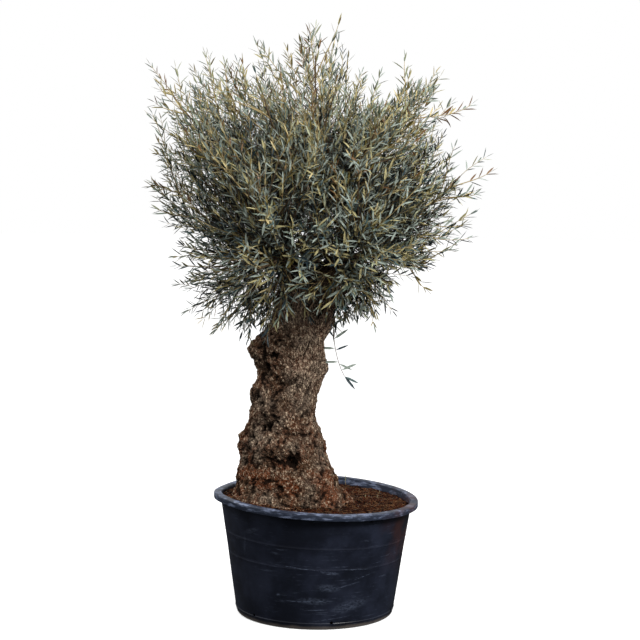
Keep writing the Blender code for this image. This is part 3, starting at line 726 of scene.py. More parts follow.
FIBRE_TONES = (("pale_fibre", (126, 90, 60)), ("brown_fibre", (66, 38, 25)), ("grey_fibre", (96, 78, 62)))
PEBBLE_TONES = (
    ("soil_crumb", (62, 33, 21)),
    ("bark_chip", (86, 58, 38)),
    ("grey_stone", (110, 100, 90)),
    ("dark_crumb", (30, 18, 13)),
)
fibres, pebbles = scatter_litter()
fibre_finishes = [Finish(name, tone(*screen), 0.8, 0.1) for name, screen in FIBRE_TONES]
pebble_finishes = [Finish(name, tone(*screen), 0.9, 0.1) for name, screen in PEBBLE_TONES]
fibres.build("soil_fibres", fibre_finishes, ["soil"], "soil")
pebbles.build("soil_pebbles", pebble_finishes, ["soil"], "soil", smooth=False)
print("litter:", FIBRES, "fibres and", PEBBLES, "pebbles and chips")

# %% [markdown]
# ## The trunk
# An olive this old carries no plain cylinder of a trunk. It leans, swells into burls, is rotted
# into pockets and spreads into roots. The large forms come from the same few rows of numbers as
# the solid: stations up the trunk, burls and hollows with a spread and a rise, and root
# azimuths. Evaluating them on a fine grid gives the true form, ready for bark.

# %% Shape the trunk's large forms
TRUNK_COLUMNS = 330
TRUNK_ROWS = 300
FORK_HEIGHT = 1.58
FOOT_HEIGHT = 0.54
# Stations: height, middle in X, middle in Y, half width, half depth.
TRUNK_STATIONS = (
    (0.54, -0.124, -0.030, 0.275, 0.215),
    (0.66, -0.136, -0.025, 0.242, 0.190),
    (0.80, -0.156, -0.020, 0.206, 0.172),
    (0.97, -0.162, -0.015, 0.166, 0.150),
    (1.15, -0.128, -0.010, 0.163, 0.146),
    (1.33, -0.122, -0.005, 0.160, 0.142),
    (1.45, -0.082, 0.000, 0.148, 0.140),
    (1.58, -0.044, 0.000, 0.158, 0.150),
)
# Burls and hollows: azimuth, height, spread and rise. Azimuth 0 is +X, and 270 faces -Y.
BURLS = (
    (188, 1.300, 0.075, 0.062),
    (182, 1.085, 0.050, 0.030),
    (176, 0.855, 0.055, 0.024),
    (4, 1.205, 0.050, 0.024),
    (274, 1.180, 0.032, 0.026),
    (250, 0.840, 0.062, 0.034),
    (232, 1.020, 0.050, 0.026),
    (300, 0.930, 0.055, 0.022),
    (60, 1.310, 0.070, 0.040),
    (100, 1.020, 0.065, 0.035),
    (42, 0.860, 0.060, 0.030),
    (128, 0.780, 0.060, 0.034),
)
HOLLOWS = (
    (282, 0.770, 0.034, 0.040),
    (236, 0.930, 0.024, 0.024),
    (214, 1.190, 0.040, 0.028),
    (80, 1.160, 0.040, 0.026),
    (0, 1.300, 0.050, 0.020),
    (358, 1.060, 0.036, 0.013),
)
# Pits: small rotted pockets that are too fine for the solid, in the same four values.
PITS = (
    (284, 0.765, 0.016, 0.022),
    (243, 0.935, 0.012, 0.024),
    (228, 0.918, 0.012, 0.022),
    (292, 0.800, 0.020, 0.012),
    (208, 0.795, 0.020, 0.014),
    (232, 1.268, 0.018, 0.016),
    (214, 1.215, 0.014, 0.016),
    (246, 1.205, 0.022, 0.012),
    (258, 0.640, 0.014, 0.016),
    (300, 0.660, 0.012, 0.012),
    (120, 1.190, 0.016, 0.018),
    (70, 0.930, 0.018, 0.020),
    (150, 0.960, 0.016, 0.018),
    (30, 0.700, 0.016, 0.016),
)
ROOTS = (8, 62, 118, 176, 218, 262, 322)
ROOT_REACH = 0.040
ROOT_RISE = 0.090
ROOT_SPREAD = 15
TRUNK_TWIST = 110  # degrees for each metre up
FLUTES = ((3, 0.022), (7, 0.014))  # how many round the trunk, and their depth as a share
# Great knobs: round heads all over the bark, which fade out at the foot and the fork.
KNOB_SPACING = 0.125
KNOB_RISE = 0.032
KNOB_LEVEL = 0.45
KNOB_FADE = 0.10


def lumps(rows, azimuth, height, girth):
    """How far the lumps of a table stand out at each place."""
    out = np.zeros_like(height)
    for centre, at_height, spread, rise in rows:
        round_it = np.radians(turn_between(azimuth, centre)) * girth
        out += rise * np.exp(-(round_it**2 + (height - at_height) ** 2) / spread**2)
    return out


def trunk_form(azimuth, height):
    """Points of the trunk's skin, and how deep each lies in a hollow."""
    middle_x, middle_y, half_width, half_depth = np.moveaxis(read_rows(TRUNK_STATIONS, height), -1, 0)
    a = np.radians(azimuth)
    oval = 1 / np.hypot(np.cos(a) / half_width, np.sin(a) / half_depth)
    twist = azimuth + TRUNK_TWIST * height
    flutes = sum(depth * np.sin(np.radians(count * twist)) for count, depth in FLUTES)
    roots = sum(np.exp(-((turn_between(azimuth, at) / ROOT_SPREAD) ** 2)) for at in ROOTS)
    roots *= ROOT_REACH * np.exp(-np.maximum(height - FOOT_HEIGHT, 0) / ROOT_RISE)
    pits = lumps(PITS, azimuth, height, oval)
    reach = oval * (1 + flutes) + roots + lumps(BURLS, azimuth, height, oval)
    reach -= lumps(HOLLOWS, azimuth, height, oval) + pits
    way = np.stack([np.cos(a), np.sin(a), np.zeros_like(a)], -1)
    plain = np.stack([middle_x, middle_y, height], -1) + way * reach[..., None]
    nearest = [noise.voronoi(Vector(place) / KNOB_SPACING)[0][0] for place in plain.reshape(-1, 3)]
    fade = np.clip(np.minimum(height - FOOT_HEIGHT, FORK_HEIGHT - height) / KNOB_FADE, 0, 1)
    knobs = KNOB_RISE * (KNOB_LEVEL - np.reshape(nearest, height.shape)) * fade
    return plain + way * knobs[..., None], pits + lumps(HOLLOWS, azimuth, height, oval)


column = 90 + np.arange(TRUNK_COLUMNS) * 360 / TRUNK_COLUMNS
row = np.linspace(FOOT_HEIGHT - 0.02, FORK_HEIGHT, TRUNK_ROWS)
trunk_azimuth, trunk_height = np.meshgrid(column, row)
trunk_points, trunk_depth = trunk_form(trunk_azimuth, trunk_height)
print("trunk form:", trunk_points.shape[0], "rings of", trunk_points.shape[1])

# %% [markdown]
# ## Bark
# The bark has two characters. The lower trunk and the burl are covered in knobs and warts, with
# dark creases between them. The right side above the waist is sound wood under thin bark, whose
# fine fibres run up along the twist. Knobs come from the distance to the nearest of scattered
# points, which makes round heads and sharp valleys, and fibres from noise that is squeezed
# across the grain. A smooth mask sets where one gives way to the other.

# %% Raise the bark's relief
KNOBS = ((21, 0.0130), (46, 0.0105), (96, 0.0066), (170, 0.0032))
FIBRE_FOLDS = ((22, 5.0, 0.0090), (58, 14.0, 0.0078), (118, 28.0, 0.0050))
FIBRE_TWIST = 3.4  # radians of turn for each metre up
WARP = 0.030
# Blender starts the offsets behind noise_vector from the clock, so they are given a seed.
BARK_SEED = 4
noise.seed_set(BARK_SEED)
HEAD_LEVEL = 0.42  # the share of a knob's size at which it neither rises nor sinks
FINE_SCALE, FINE_RISE = 260, 0.0014


def knobby(place):
    """Round heads with sharp valleys between them, in metres."""
    warped = place + noise.noise_vector(place * 8) * WARP
    rise = 0
    for scale, amount in KNOBS:
        nearest = noise.voronoi(warped * scale)[0][0]
        rise += amount * (HEAD_LEVEL - nearest)
    return rise + FINE_RISE * noise.noise(place * FINE_SCALE)


def fibrous(untwisted):
    """Fine ridges that run up the trunk with its twist."""
    rise = 0
    for across, along, amount in FIBRE_FOLDS:
        fold = noise.noise(Vector((untwisted.x * across, untwisted.y * across, untwisted.z * along)))
        rise += amount * (0.35 - abs(fold) * 1.6)
    return rise


def untwist(points, middle):
    """Points turned back round the middle line, so that a fibre lies upright."""
    angle = -FIBRE_TWIST * points[:, 2]
    x, y = (points[:, :2] - middle).T
    turned_x = x * np.cos(angle) - y * np.sin(angle)
    turned_y = x * np.sin(angle) + y * np.cos(angle)
    return np.stack([turned_x, turned_y, points[:, 2]], 1)


def relief_of(points, middle, share):
    """The bark's rise at each point, from its share of fibrous bark."""
    rise = np.empty(len(points))
    for i, (point, upright, fibre) in enumerate(zip(points, untwist(points, middle), share)):
        rough = knobby(Vector(point)) if fibre < 0.99 else 0
        fine = fibrous(Vector(upright)) if fibre > 0.01 else 0
        rise[i] = rough * (1 - fibre) + fine * fibre
    return rise


def normals_of(grid):
    """Outward normals of a grid of rings."""
    up = np.gradient(grid, axis=0)
    round_it = np.roll(grid, -1, axis=1) - np.roll(grid, 1, axis=1)
    out = np.cross(round_it, up)
    return out / np.maximum(np.linalg.norm(out, axis=-1, keepdims=True), 1e-9)


trunk_middle = read_rows(TRUNK_STATIONS, trunk_height)[..., :2]
sound_side = smooth_step(-0.05, 0.05, trunk_points[..., 0] - trunk_middle[..., 0])
sound_share = smooth_step(0.98, 1.16, trunk_height) * sound_side
sound_share = np.maximum(sound_share, 0.75 * smooth_step(1.36, 1.46, trunk_height))
flat_points, flat_middle = trunk_points.reshape(-1, 3), trunk_middle.reshape(-1, 2)
trunk_rise = relief_of(flat_points, flat_middle, sound_share.ravel()).reshape(trunk_height.shape)
trunk_skin = trunk_points + normals_of(trunk_points) * trunk_rise[..., None]
print("bark relief from", round(trunk_rise.min() * 1000, 1), "to", round(trunk_rise.max() * 1000, 1), "mm")

# %% [markdown]
# Bark changes colour with its relief: creases and pits go nearly black, partly from the soil that
# they hold and partly as painted shade, and raised heads take pale flecks, which are weathered grey
# and painted highlight both. Two values are stored on the mesh for the shader, how deep a point
# lies and how fibrous its bark is. The foot also takes up the red of the soil.

# %% Finish the bark
bark = Finish("old_olive_bark", tone(90, 70, 56), 0.9, specular=0.04)
crease, fibre_share = bark.attribute("crease"), bark.attribute("fibre")
split = bark.wire(bark.node("ShaderNodeSeparateXYZ"), Vector=bark.place)
patches = bark.window(bark.noise(6.5, 4, 0.6), 0.36, 0.64)
base = bark.blend(patches, tone(94, 68, 50), tone(116, 100, 86))
streaks = bark.window(bark.noise(150, 4, 0.7, bark.stretched((1, 1, 0.2), (0, 28, 0))), 0.42, 0.58)
grain = bark.blend(streaks, tone(52, 40, 32), tone(152, 132, 114))
base = bark.blend(bark.sum("MULTIPLY", fibre_share, 0.85), base, grain)
rusty = bark.window(bark.noise(11, 4, 0.65), 0.42, 0.62, 0, 0.7)
low_down = bark.window(split.outputs[2], 1.10, 0.62, 0.3, 1.0)
base = bark.blend(bark.sum("MULTIPLY", rusty, low_down), base, tone(122, 64, 35))
# Dark fine cracks in a noise: painted shade in crevices that the mesh does not hold.
crack_shade = bark.window(bark.noise(90, 5, 0.7), 0.50, 0.40, 0, 0.85)
base = bark.blend(crack_shade, base, tone(24, 15, 10))
# Pale flecks on the raised heads: weathered grey bark, and also painted highlight.
flecks_and_highlight = bark.noise(120, 4, 0.7, bark.stretched((1, 1, 0.5), (0, 14, 0)))
flecks_and_highlight = bark.window(flecks_and_highlight, 0.52, 0.62, 0, 0.95)
raised = bark.window(crease, 0.60, 0.15, 0.1, 1)
base = bark.blend(bark.sum("MULTIPLY", flecks_and_highlight, raised), base, tone(214, 190, 162))
# Creases and pits go nearly black: partly the soil in them, partly painted shade.
base = bark.blend(bark.window(crease, 0.36, 0.80, 0, 0.95), base, tone(20, 14, 10))
bark.colour(base)
warts = bark.node("ShaderNodeTexVoronoi")
bark.wire(warts, Vector=bark.place, Scale=125.0)
grit = bark.sum("ADD", bark.noise(230, 5, 0.8), bark.sum("MULTIPLY", warts.outputs["Distance"], -1.2))
bark.bump(grit, 1.0, 0.008)


def crease_of(rise, depth, low, high):
    """How deep in the relief a point lies, from 0 on a head to 1 in a pit."""
    return np.clip((high - rise) / (high - low) * 0.75 + depth * 12, 0, 1)


def add_skin(name, skin, rise, depth, share, stands_for, cap_rise):
    """A limb's skin: rings of points, closed at the foot by a face and at the top by a dome."""
    rows, columns = skin.shape[:2]
    points, faces = skin.reshape(-1, 3).tolist(), grid_faces(rows, columns)
    faces.append(list(range(columns))[::-1])
    middle, dome = skin[-1].mean(0), 5
    for step in range(1, dome):
        lift = cap_rise * (1 - (1 - step / dome) ** 2)
        ring = middle + (skin[-1] - middle) * (1 - step / dome) + lift
        points += ring.tolist()
    faces += grid_faces(dome, columns, (rows - 1) * columns)
    faces.append(list(range(len(points) - columns, len(points))))
    piece = add_piece(name, points, faces, [bark], stands_for)
    low, high = np.percentile(rise, (4, 94))
    crease = crease_of(rise, depth, low, high).ravel()
    spare = len(points) - crease.size
    give_attribute(piece, "crease", np.concatenate([crease, np.full(spare, 0.5)]))
    give_attribute(piece, "fibre", np.concatenate([share.ravel(), np.full(spare, 0.6)]))
    return piece


TRUNK_CAP = np.array((0, 0, 0.025))
trunk = add_skin(
    "trunk_bark", trunk_skin, trunk_rise, trunk_depth, sound_share, ["trunk"], TRUNK_CAP
)
print("trunk:", len(trunk.data.polygons), "faces")

# %% [markdown]
# ## Boughs
# Seven boughs stand on the fork, one for each side of the crown and one in the middle. Each is a
# tapering limb along a smooth curve, which is a Bezier with its handles upright at the foot and
# along the bough's own lean at its tip. The bark on them is the fibrous kind, thinner than below.

# %% Grow the boughs
BOUGH_SIDES, BOUGH_ROWS = 44, 70
BOUGH_FOOT_RADIUS = 0.046
BOUGH_TIP_RADIUS = 0.024
BOUGH_FOOT_REACH = 0.103
BOUGH_TIP_REACH = 0.225
BOUGH_TIP_HEIGHT = 1.735
BOUGH_TIP_RISE = 25
MIDDLE_TIP = Vector((-0.02, 0.015, 1.93))
MIDDLE_TIP_RADIUS = 0.031
BOUGH_RELIEF = 0.55
CLEAR = 0.0003
CROWN_HUB = Vector((-0.03, 0.0, 1.70))
SIDES = {"right": 0, "back_right": 60, "back_left": 120, "left": 180, "front_left": 240, "front_right": 300}


def direction(azimuth, elevation):
    a, e = math.radians(azimuth), math.radians(elevation)
    return Vector((math.cos(a) * math.cos(e), math.sin(a) * math.cos(e), math.sin(e)))


def bezier(handles, shares):
    """Points of a curve with four handles, as rows."""
    a, b, c, d = (np.array(handle) for handle in handles)
    t = np.asarray(shares, float)[:, None]
    return a * (1 - t) ** 3 + 3 * b * t * (1 - t) ** 2 + 3 * c * t**2 * (1 - t) + d * t**3


def grow_bough(side, foot, tip, out, tip_radius):
    length = (tip - foot).length
    handles = (foot, foot + UP * length * 0.4, tip - out * length * 0.4, tip)
    path = bezier(handles, np.linspace(0, 1, BOUGH_ROWS))
    radii = np.linspace(BOUGH_FOOT_RADIUS, tip_radius, BOUGH_ROWS)
    skin = tube_points(path, radii, BOUGH_SIDES).reshape(BOUGH_ROWS, BOUGH_SIDES, 3)
    middle = np.repeat(path[:, :2], BOUGH_SIDES, axis=0)
    share = np.full(skin.shape[:2], 0.8)
    rise = relief_of(skin.reshape(-1, 3), middle, share.ravel()).reshape(share.shape) * BOUGH_RELIEF
    skin = skin + normals_of(skin) * rise[..., None]
    cap = np.array(out * 0.004)
    return add_skin(f"bough_bark_{side}", skin, rise, 0 * rise, share, [f"bough_{side}"], cap)


fork = Vector((TRUNK_STATIONS[-1][1], TRUNK_STATIONS[-1][2], FORK_HEIGHT + CLEAR))
bough_tips = {}
for side, azimuth in SIDES.items():
    tip = CROWN_HUB + direction(azimuth, 0) * BOUGH_TIP_REACH
    tip.z = BOUGH_TIP_HEIGHT
    bough_tips[side] = tip
    foot = fork + direction(azimuth, 0) * BOUGH_FOOT_REACH
    grow_bough(side, foot, tip, direction(azimuth, BOUGH_TIP_RISE), BOUGH_TIP_RADIUS)
grow_bough("middle", fork, MIDDLE_TIP, UP, MIDDLE_TIP_RADIUS)
print("boughs:", len(SIDES) + 1)

# %% [markdown]
# ## The crown's plan
# Each bough carries a few stems, and each stem with all that it bears is one mass of foliage. A
# mass keeps to its own room: the places that lie nearer to its middle than to any other's and
# inside the crown's reach. So the crown fills evenly and no two masses tangle. The reach itself
# is a table by elevation for the four sides, read smoothly in between.

# %% Plan the masses
# How far the shoots reach from the hub, by elevation, to +X, +Y, -X and -Y.
CROWN_REACH = (
    (-50, 0.37, 0.48, 0.52, 0.38),
    (-28, 0.49, 0.54, 0.64, 0.48),
    (-8, 0.60, 0.66, 0.69, 0.60),
    (8, 0.78, 0.80, 0.71, 0.74),
    (28, 1.02, 0.98, 0.93, 0.90),
    (50, 1.16, 1.12, 1.27, 1.06),
    (70, 1.16, 1.12, 1.18, 1.12),
    (90, 1.21, 1.21, 1.21, 1.21),
)
# Tiers: name, elevation, how far the shoots turn up, how many twigs, and the size of a spray.
SIDE_TIERS = (
    ("skirt", -34, -0.25, 4, 0.70),
    ("waist", -3, 0.10, 4, 0.80),
    ("shoulder", 27, 0.35, 5, 0.95),
)
UPPER_TIER = ("upper", 55, 0.50, 5, 0.95)
TOP_TIER = ("top", 90, 0.50, 6, 0.95)
STAGGER = 5
MIDDLE_SHARE = 0.66
STEM_LEAD = 0.035
SIDE_SLOT = 0.014
UPPER_SLOT = 0.0215
SPRAY_LENGTH = 0.230


def crown_reach(way):
    """How far shoots grow from the hub in this direction."""
    flat = math.hypot(way.x, way.y)
    elevation = math.degrees(math.atan2(way.z, flat))
    elevation = min(max(elevation, CROWN_REACH[0][0]), CROWN_REACH[-1][0])
    right, back, left, front = read_rows(CROWN_REACH, elevation)
    side = right if way.x > 0 else left
    depth = back if way.y > 0 else front
    return (side * way.x**2 + depth * way.y**2) / flat**2 if flat > 1e-6 else side


def slot_side(out, k):
    """Where the k-th of three stems stands on a bough's end: the first is the lowest."""
    low = (-UP + out * out.z).normalized()
    return Matrix.Rotation(math.radians(120 * k), 3, out) @ low


def plan_masses():
    """Each mass's name, direction, start, first heading, lift, twigs and size."""
    plans = []
    for side, azimuth in SIDES.items():
        out = direction(azimuth, BOUGH_TIP_RISE)
        stagger = STAGGER if azimuth // 60 % 2 == 0 else -STAGGER
        for k, (tier, elevation, lift, twigs, size) in enumerate(SIDE_TIERS):
            start = bough_tips[side] + slot_side(out, k) * SIDE_SLOT
            way = direction(azimuth, elevation + stagger)
            plans.append((f"{tier}_{side}", way, start, out, lift, twigs, size))
        tier, elevation, lift, twigs, size = UPPER_TIER
        start = MIDDLE_TIP + direction(azimuth, 0) * UPPER_SLOT
        way = direction(azimuth, elevation + stagger)
        plans.append((f"{tier}_{side}", way, start, UP, lift, twigs, size))
    tier, _, lift, twigs, size = TOP_TIER
    plans.append((tier, UP, MIDDLE_TIP, UP, lift, twigs, size))
    return plans


plans = plan_masses()
middles = {name: CROWN_HUB + way * crown_reach(way) * MIDDLE_SHARE for name, way, *_ in plans}
print("masses planned:", len(plans))

# %% [markdown]
# ## Leaves
# An olive leaf is a narrow blade, dull green above and silvery beneath, folded a little along its
# midrib. Six points give its outline, the fold comes from lifting its sides, and one point below
# closes the underside, so ten triangles make a closed leaf with a real edge. Tens of thousands
# are stamped from this one outline by numpy, each with its own place, heading, size and bend.

# %% Define the leaf
LEAF_LENGTH = 0.062
LEAF_WIDTH = 0.0094
WIDTH_POWER = 1.2  # a longer leaf is wider, by this power of its length
# Outline of the blade: share of length, share of half width, and fold.
BLADE = (
    (0, 0, 0), (0.30, 0.90, 0.10), (0.68, 0.82, 0.10),
    (1, 0, 0), (0.68, -0.82, 0.10), (0.30, -0.90, 0.10),
)
KEEL = (0.46, 0, -0.06)
BLADE_TOP = [(0, 5, 4, 3), (0, 3, 2, 1)]
BLADE_BELOW = [(5, 0, 6), (4, 5, 6), (3, 4, 6), (2, 3, 6), (1, 2, 6), (0, 1, 6)]
# Upper faces: name, screen colour, then its share on the crown's top, its sides and its inside.
# The near-black tone that fills the inside is painted shade, and the paler tones on the top are
# partly painted light.
LEAF_TONES = (
    ("slate_leaf", (46, 62, 68), 1, 5, 5),
    ("blue_green_leaf", (72, 92, 92), 1, 6, 1),
    ("grey_green_leaf", (112, 126, 110), 4, 5, 0),
    ("sage_leaf", (158, 162, 132), 5, 3, 0),
    ("olive_leaf", (112, 100, 50), 5, 3, 1),
    ("straw_leaf", (188, 172, 124), 4, 1, 0),
    ("brown_leaf", (116, 84, 50), 5, 0, 0),
    ("painted_shade_leaf", (18, 25, 25), 1, 4, 26),
    ("seedling_leaf", (96, 122, 52), 0, 0, 0),
)
UNDER_TONES = (("silver_underside", (140, 150, 140)), ("straw_underside", (158, 150, 108)))
leaf_finishes = [Finish(name, tone(*screen), 0.42, 0.32) for name, screen, *_ in LEAF_TONES]
leaf_finishes += [Finish(name, tone(*screen), 0.6, 0.2) for name, screen in UNDER_TONES]
twig_finish = Finish("old_twig", tone(88, 72, 54), 0.8, 0.15)
young_twig_finish = Finish("young_twig", tone(172, 152, 106), 0.65, 0.3)


def stamp_leaves(roots, headings, faces, lengths, bends):
    """Points of many leaves. Each heading runs along a blade and each face is its upper side."""
    across = np.cross(faces, headings)
    across /= np.linalg.norm(across, axis=1)[:, None]
    above = np.cross(headings, across)
    outline = np.array(BLADE + (KEEL,))
    along = outline[:, 0][None, :] * lengths[:, None]
    aside = outline[:, 1][None, :] * (LEAF_WIDTH / 2) * (lengths / LEAF_LENGTH)[:, None] ** WIDTH_POWER
    droop = bends[:, None] * outline[:, 0][None, :] ** 2 * lengths[:, None]
    lift = outline[:, 2][None, :] * LEAF_WIDTH - droop
    return (
        roots[:, None]
        + along[..., None] * headings[:, None]
        + aside[..., None] * across[:, None]
        + lift[..., None] * above[:, None]
    )


print("leaf:", LEAF_LENGTH * 1000, "by", LEAF_WIDTH * 1000, "mm,", len(LEAF_TONES), "tones")

# %% [markdown]
# ## Growing a mass
# The stem bends from its bough to the edge of the crown. Twigs leave it for the emptiest places
# of the mass's room, each from the place on the stem where it would lean most naturally, and
# shoots leave the twigs in turn, bending towards the light. Only shoots bear leaves, in opposite
# pairs, each pair a quarter turn from the last. Whatever would leave the crown's reach is cut
# shorter, and what would run into the trunk is left out.

# %% Define how a mass grows
SEED = 4
TWIG_LEAN = 40
TWIG_TRIES = 60
TWIGS_EACH = 3.8  # twigs for each one of the solid's
GOAL_INNER, GOAL_OUTER = 0.20, 0.86
EDGE_SHARE, EDGE_PLAY, EDGE_GRAIN = 0.90, 0.11, 4.5
RIGHT_EDGE = 0.15  # how much shorter the shoots stay on the right, between the leaders
FRINGE_THIN, SKIRT_THIN, SKIRT_THIN_RIGHT, TOP_THIN = 0.74, 0.40, 0.82, 0.28
HEART_ROUNDS = 4  # further turns of short shoots along each stem, which close the crown's heart
SHOOT_STEP = 0.050
SHOOT_LENGTH = (0.16, 0.38)
SHOOT_LEAST = 0.07
SUNLIT_SHARE = 0.72  # beyond this share of the reach a shoot's bark is young and pale
SHOOT_LEAN = 34
SHOOT_RADII = (0.0019, 0.0010)  # at the foot and at the tip
SHOOT_BEND = (0.45, 0.75)  # how much of its first heading and of its last way a shoot spans
PAIR_STEP = 0.0310
PAIR_LEAN = (44, 20, 14)  # at the foot, how much less at the tip, and the play
PAIR_SPIN = 18
LEADER_STEP = 0.0360
LEADERS_EACH = 4
PAST_THE_EDGE = 0.07  # how far the leaders' own shoots may pass the edge, as a share of the reach
GOLDEN_ANGLE = 137.5
ROOM_MARGIN = -0.03
CROWN_BOX = (0.840, 0.780, 2.910)  # no shoot but a leader ends beyond this x, y or z
TRUNK_ROOM = 0.012
TRUNK_SHOWS = (-0.25, 0.16, 1.50)  # from x, to x, and below which height
SKIN_STEP = 6
coarse = trunk_skin[::SKIN_STEP, ::SKIN_STEP]
skin_tree = BVHTree.FromPolygons(coarse.reshape(-1, 3).tolist(), grid_faces(*coarse.shape[:2]))
TUBE_FACES = {}  # made once for each number of rings and sides

# Tips of the longest shoots on the crown's two sides and its top.
LEADER_TIPS = (
    (-0.855, 0.08, 2.688), (-0.821, -0.12, 2.508), (-0.829, 0.05, 2.078), (-0.819, -0.10, 1.982),
    (-0.672, -0.05, 1.572), (-0.610, -0.10, 1.460), (-0.540, -0.08, 1.354), (-0.367, -0.15, 1.320),
    (-0.272, -0.20, 1.330), (-0.720, -0.15, 1.700), (0.300, -0.15, 1.400), (0.396, -0.10, 1.474),
    (0.563, -0.05, 1.589), (0.765, -0.10, 1.858), (0.859, 0.02, 2.182), (0.669, -0.15, 2.313),
    (0.760, 0.10, 2.520), (0.566, -0.05, 2.669), (0.421, 0.12, 2.748), (0.084, -0.05, 2.913),
    (-0.059, 0.10, 2.874), (-0.287, -0.10, 2.786), (-0.583, 0.05, 2.744),
)


class Room:
    """The places nearer to a mass's own middle than to any other's, within the ragged edge."""

    def __init__(self, name):
        self.own = middles[name]
        others = [middle for other, middle in middles.items() if other != name]
        self.borders = [((self.own + other) / 2, (self.own - other).normalized()) for other in others]

    def holds(self, point):
        inside = outer_share(point) <= edge_share(point) * GOAL_OUTER
        return inside and all((point - at).dot(way) > ROOM_MARGIN for at, way in self.borders)


def outer_share(point):
    """How far out a place lies, as a share of the crown's reach there."""
    offset = point - CROWN_HUB
    return offset.length / crown_reach(offset.normalized())


def edge_share(point):
    """Where the crown's ragged edge lies here: only its leaders grow past it."""
    way = (point - CROWN_HUB).normalized()
    wave = noise.noise(way * EDGE_GRAIN + Vector((SEED, 0, 0)))
    return EDGE_SHARE - RIGHT_EDGE * max(way.x, 0) + EDGE_PLAY * wave


def within_reach(point, past):
    """Whether a shoot may end here: within the ragged edge, and within the whole crown's box."""
    x, y, z = CROWN_BOX
    boxed = abs(point.x) < x and abs(point.y) < y and point.z < z
    return boxed and outer_share(point) <= edge_share(point) + past


def fullness(point):
    """The share of shoots that grow here: all of them inside, fewer at the edge and low down."""
    fringe = 1 - FRINGE_THIN * smooth_step(0.66, 0.95, outer_share(point))
    aside = smooth_step(0.25, 0.45, math.hypot(point.x - CROWN_HUB.x, point.y))
    thin = SKIRT_THIN if point.x < 0 else SKIRT_THIN_RIGHT
    skirt = 1 - thin * aside * (1 - smooth_step(1.45, 1.70, point.z))
    return fringe * skirt * (1 - TOP_THIN * smooth_step(2.25, 2.70, point.z))


def before_the_trunk(point):
    """Whether a place would hide the trunk from the front."""
    low = point.z < TRUNK_SHOWS[2]
    return low and point.y < 0 and TRUNK_SHOWS[0] < point.x < TRUNK_SHOWS[1]


def shoot_bound(heading, out):
    """The straight way from a shoot's foot to its tip."""
    return (heading * SHOOT_BEND[0] + out * SHOOT_BEND[1]).normalized()


def off_the_trunk(point):
    if point.z > FORK_HEIGHT + 0.05:
        return True
    near, out, _, gap = skin_tree.find_nearest(point)
    return gap > TRUNK_ROOM and (point - near).dot(out) > 0


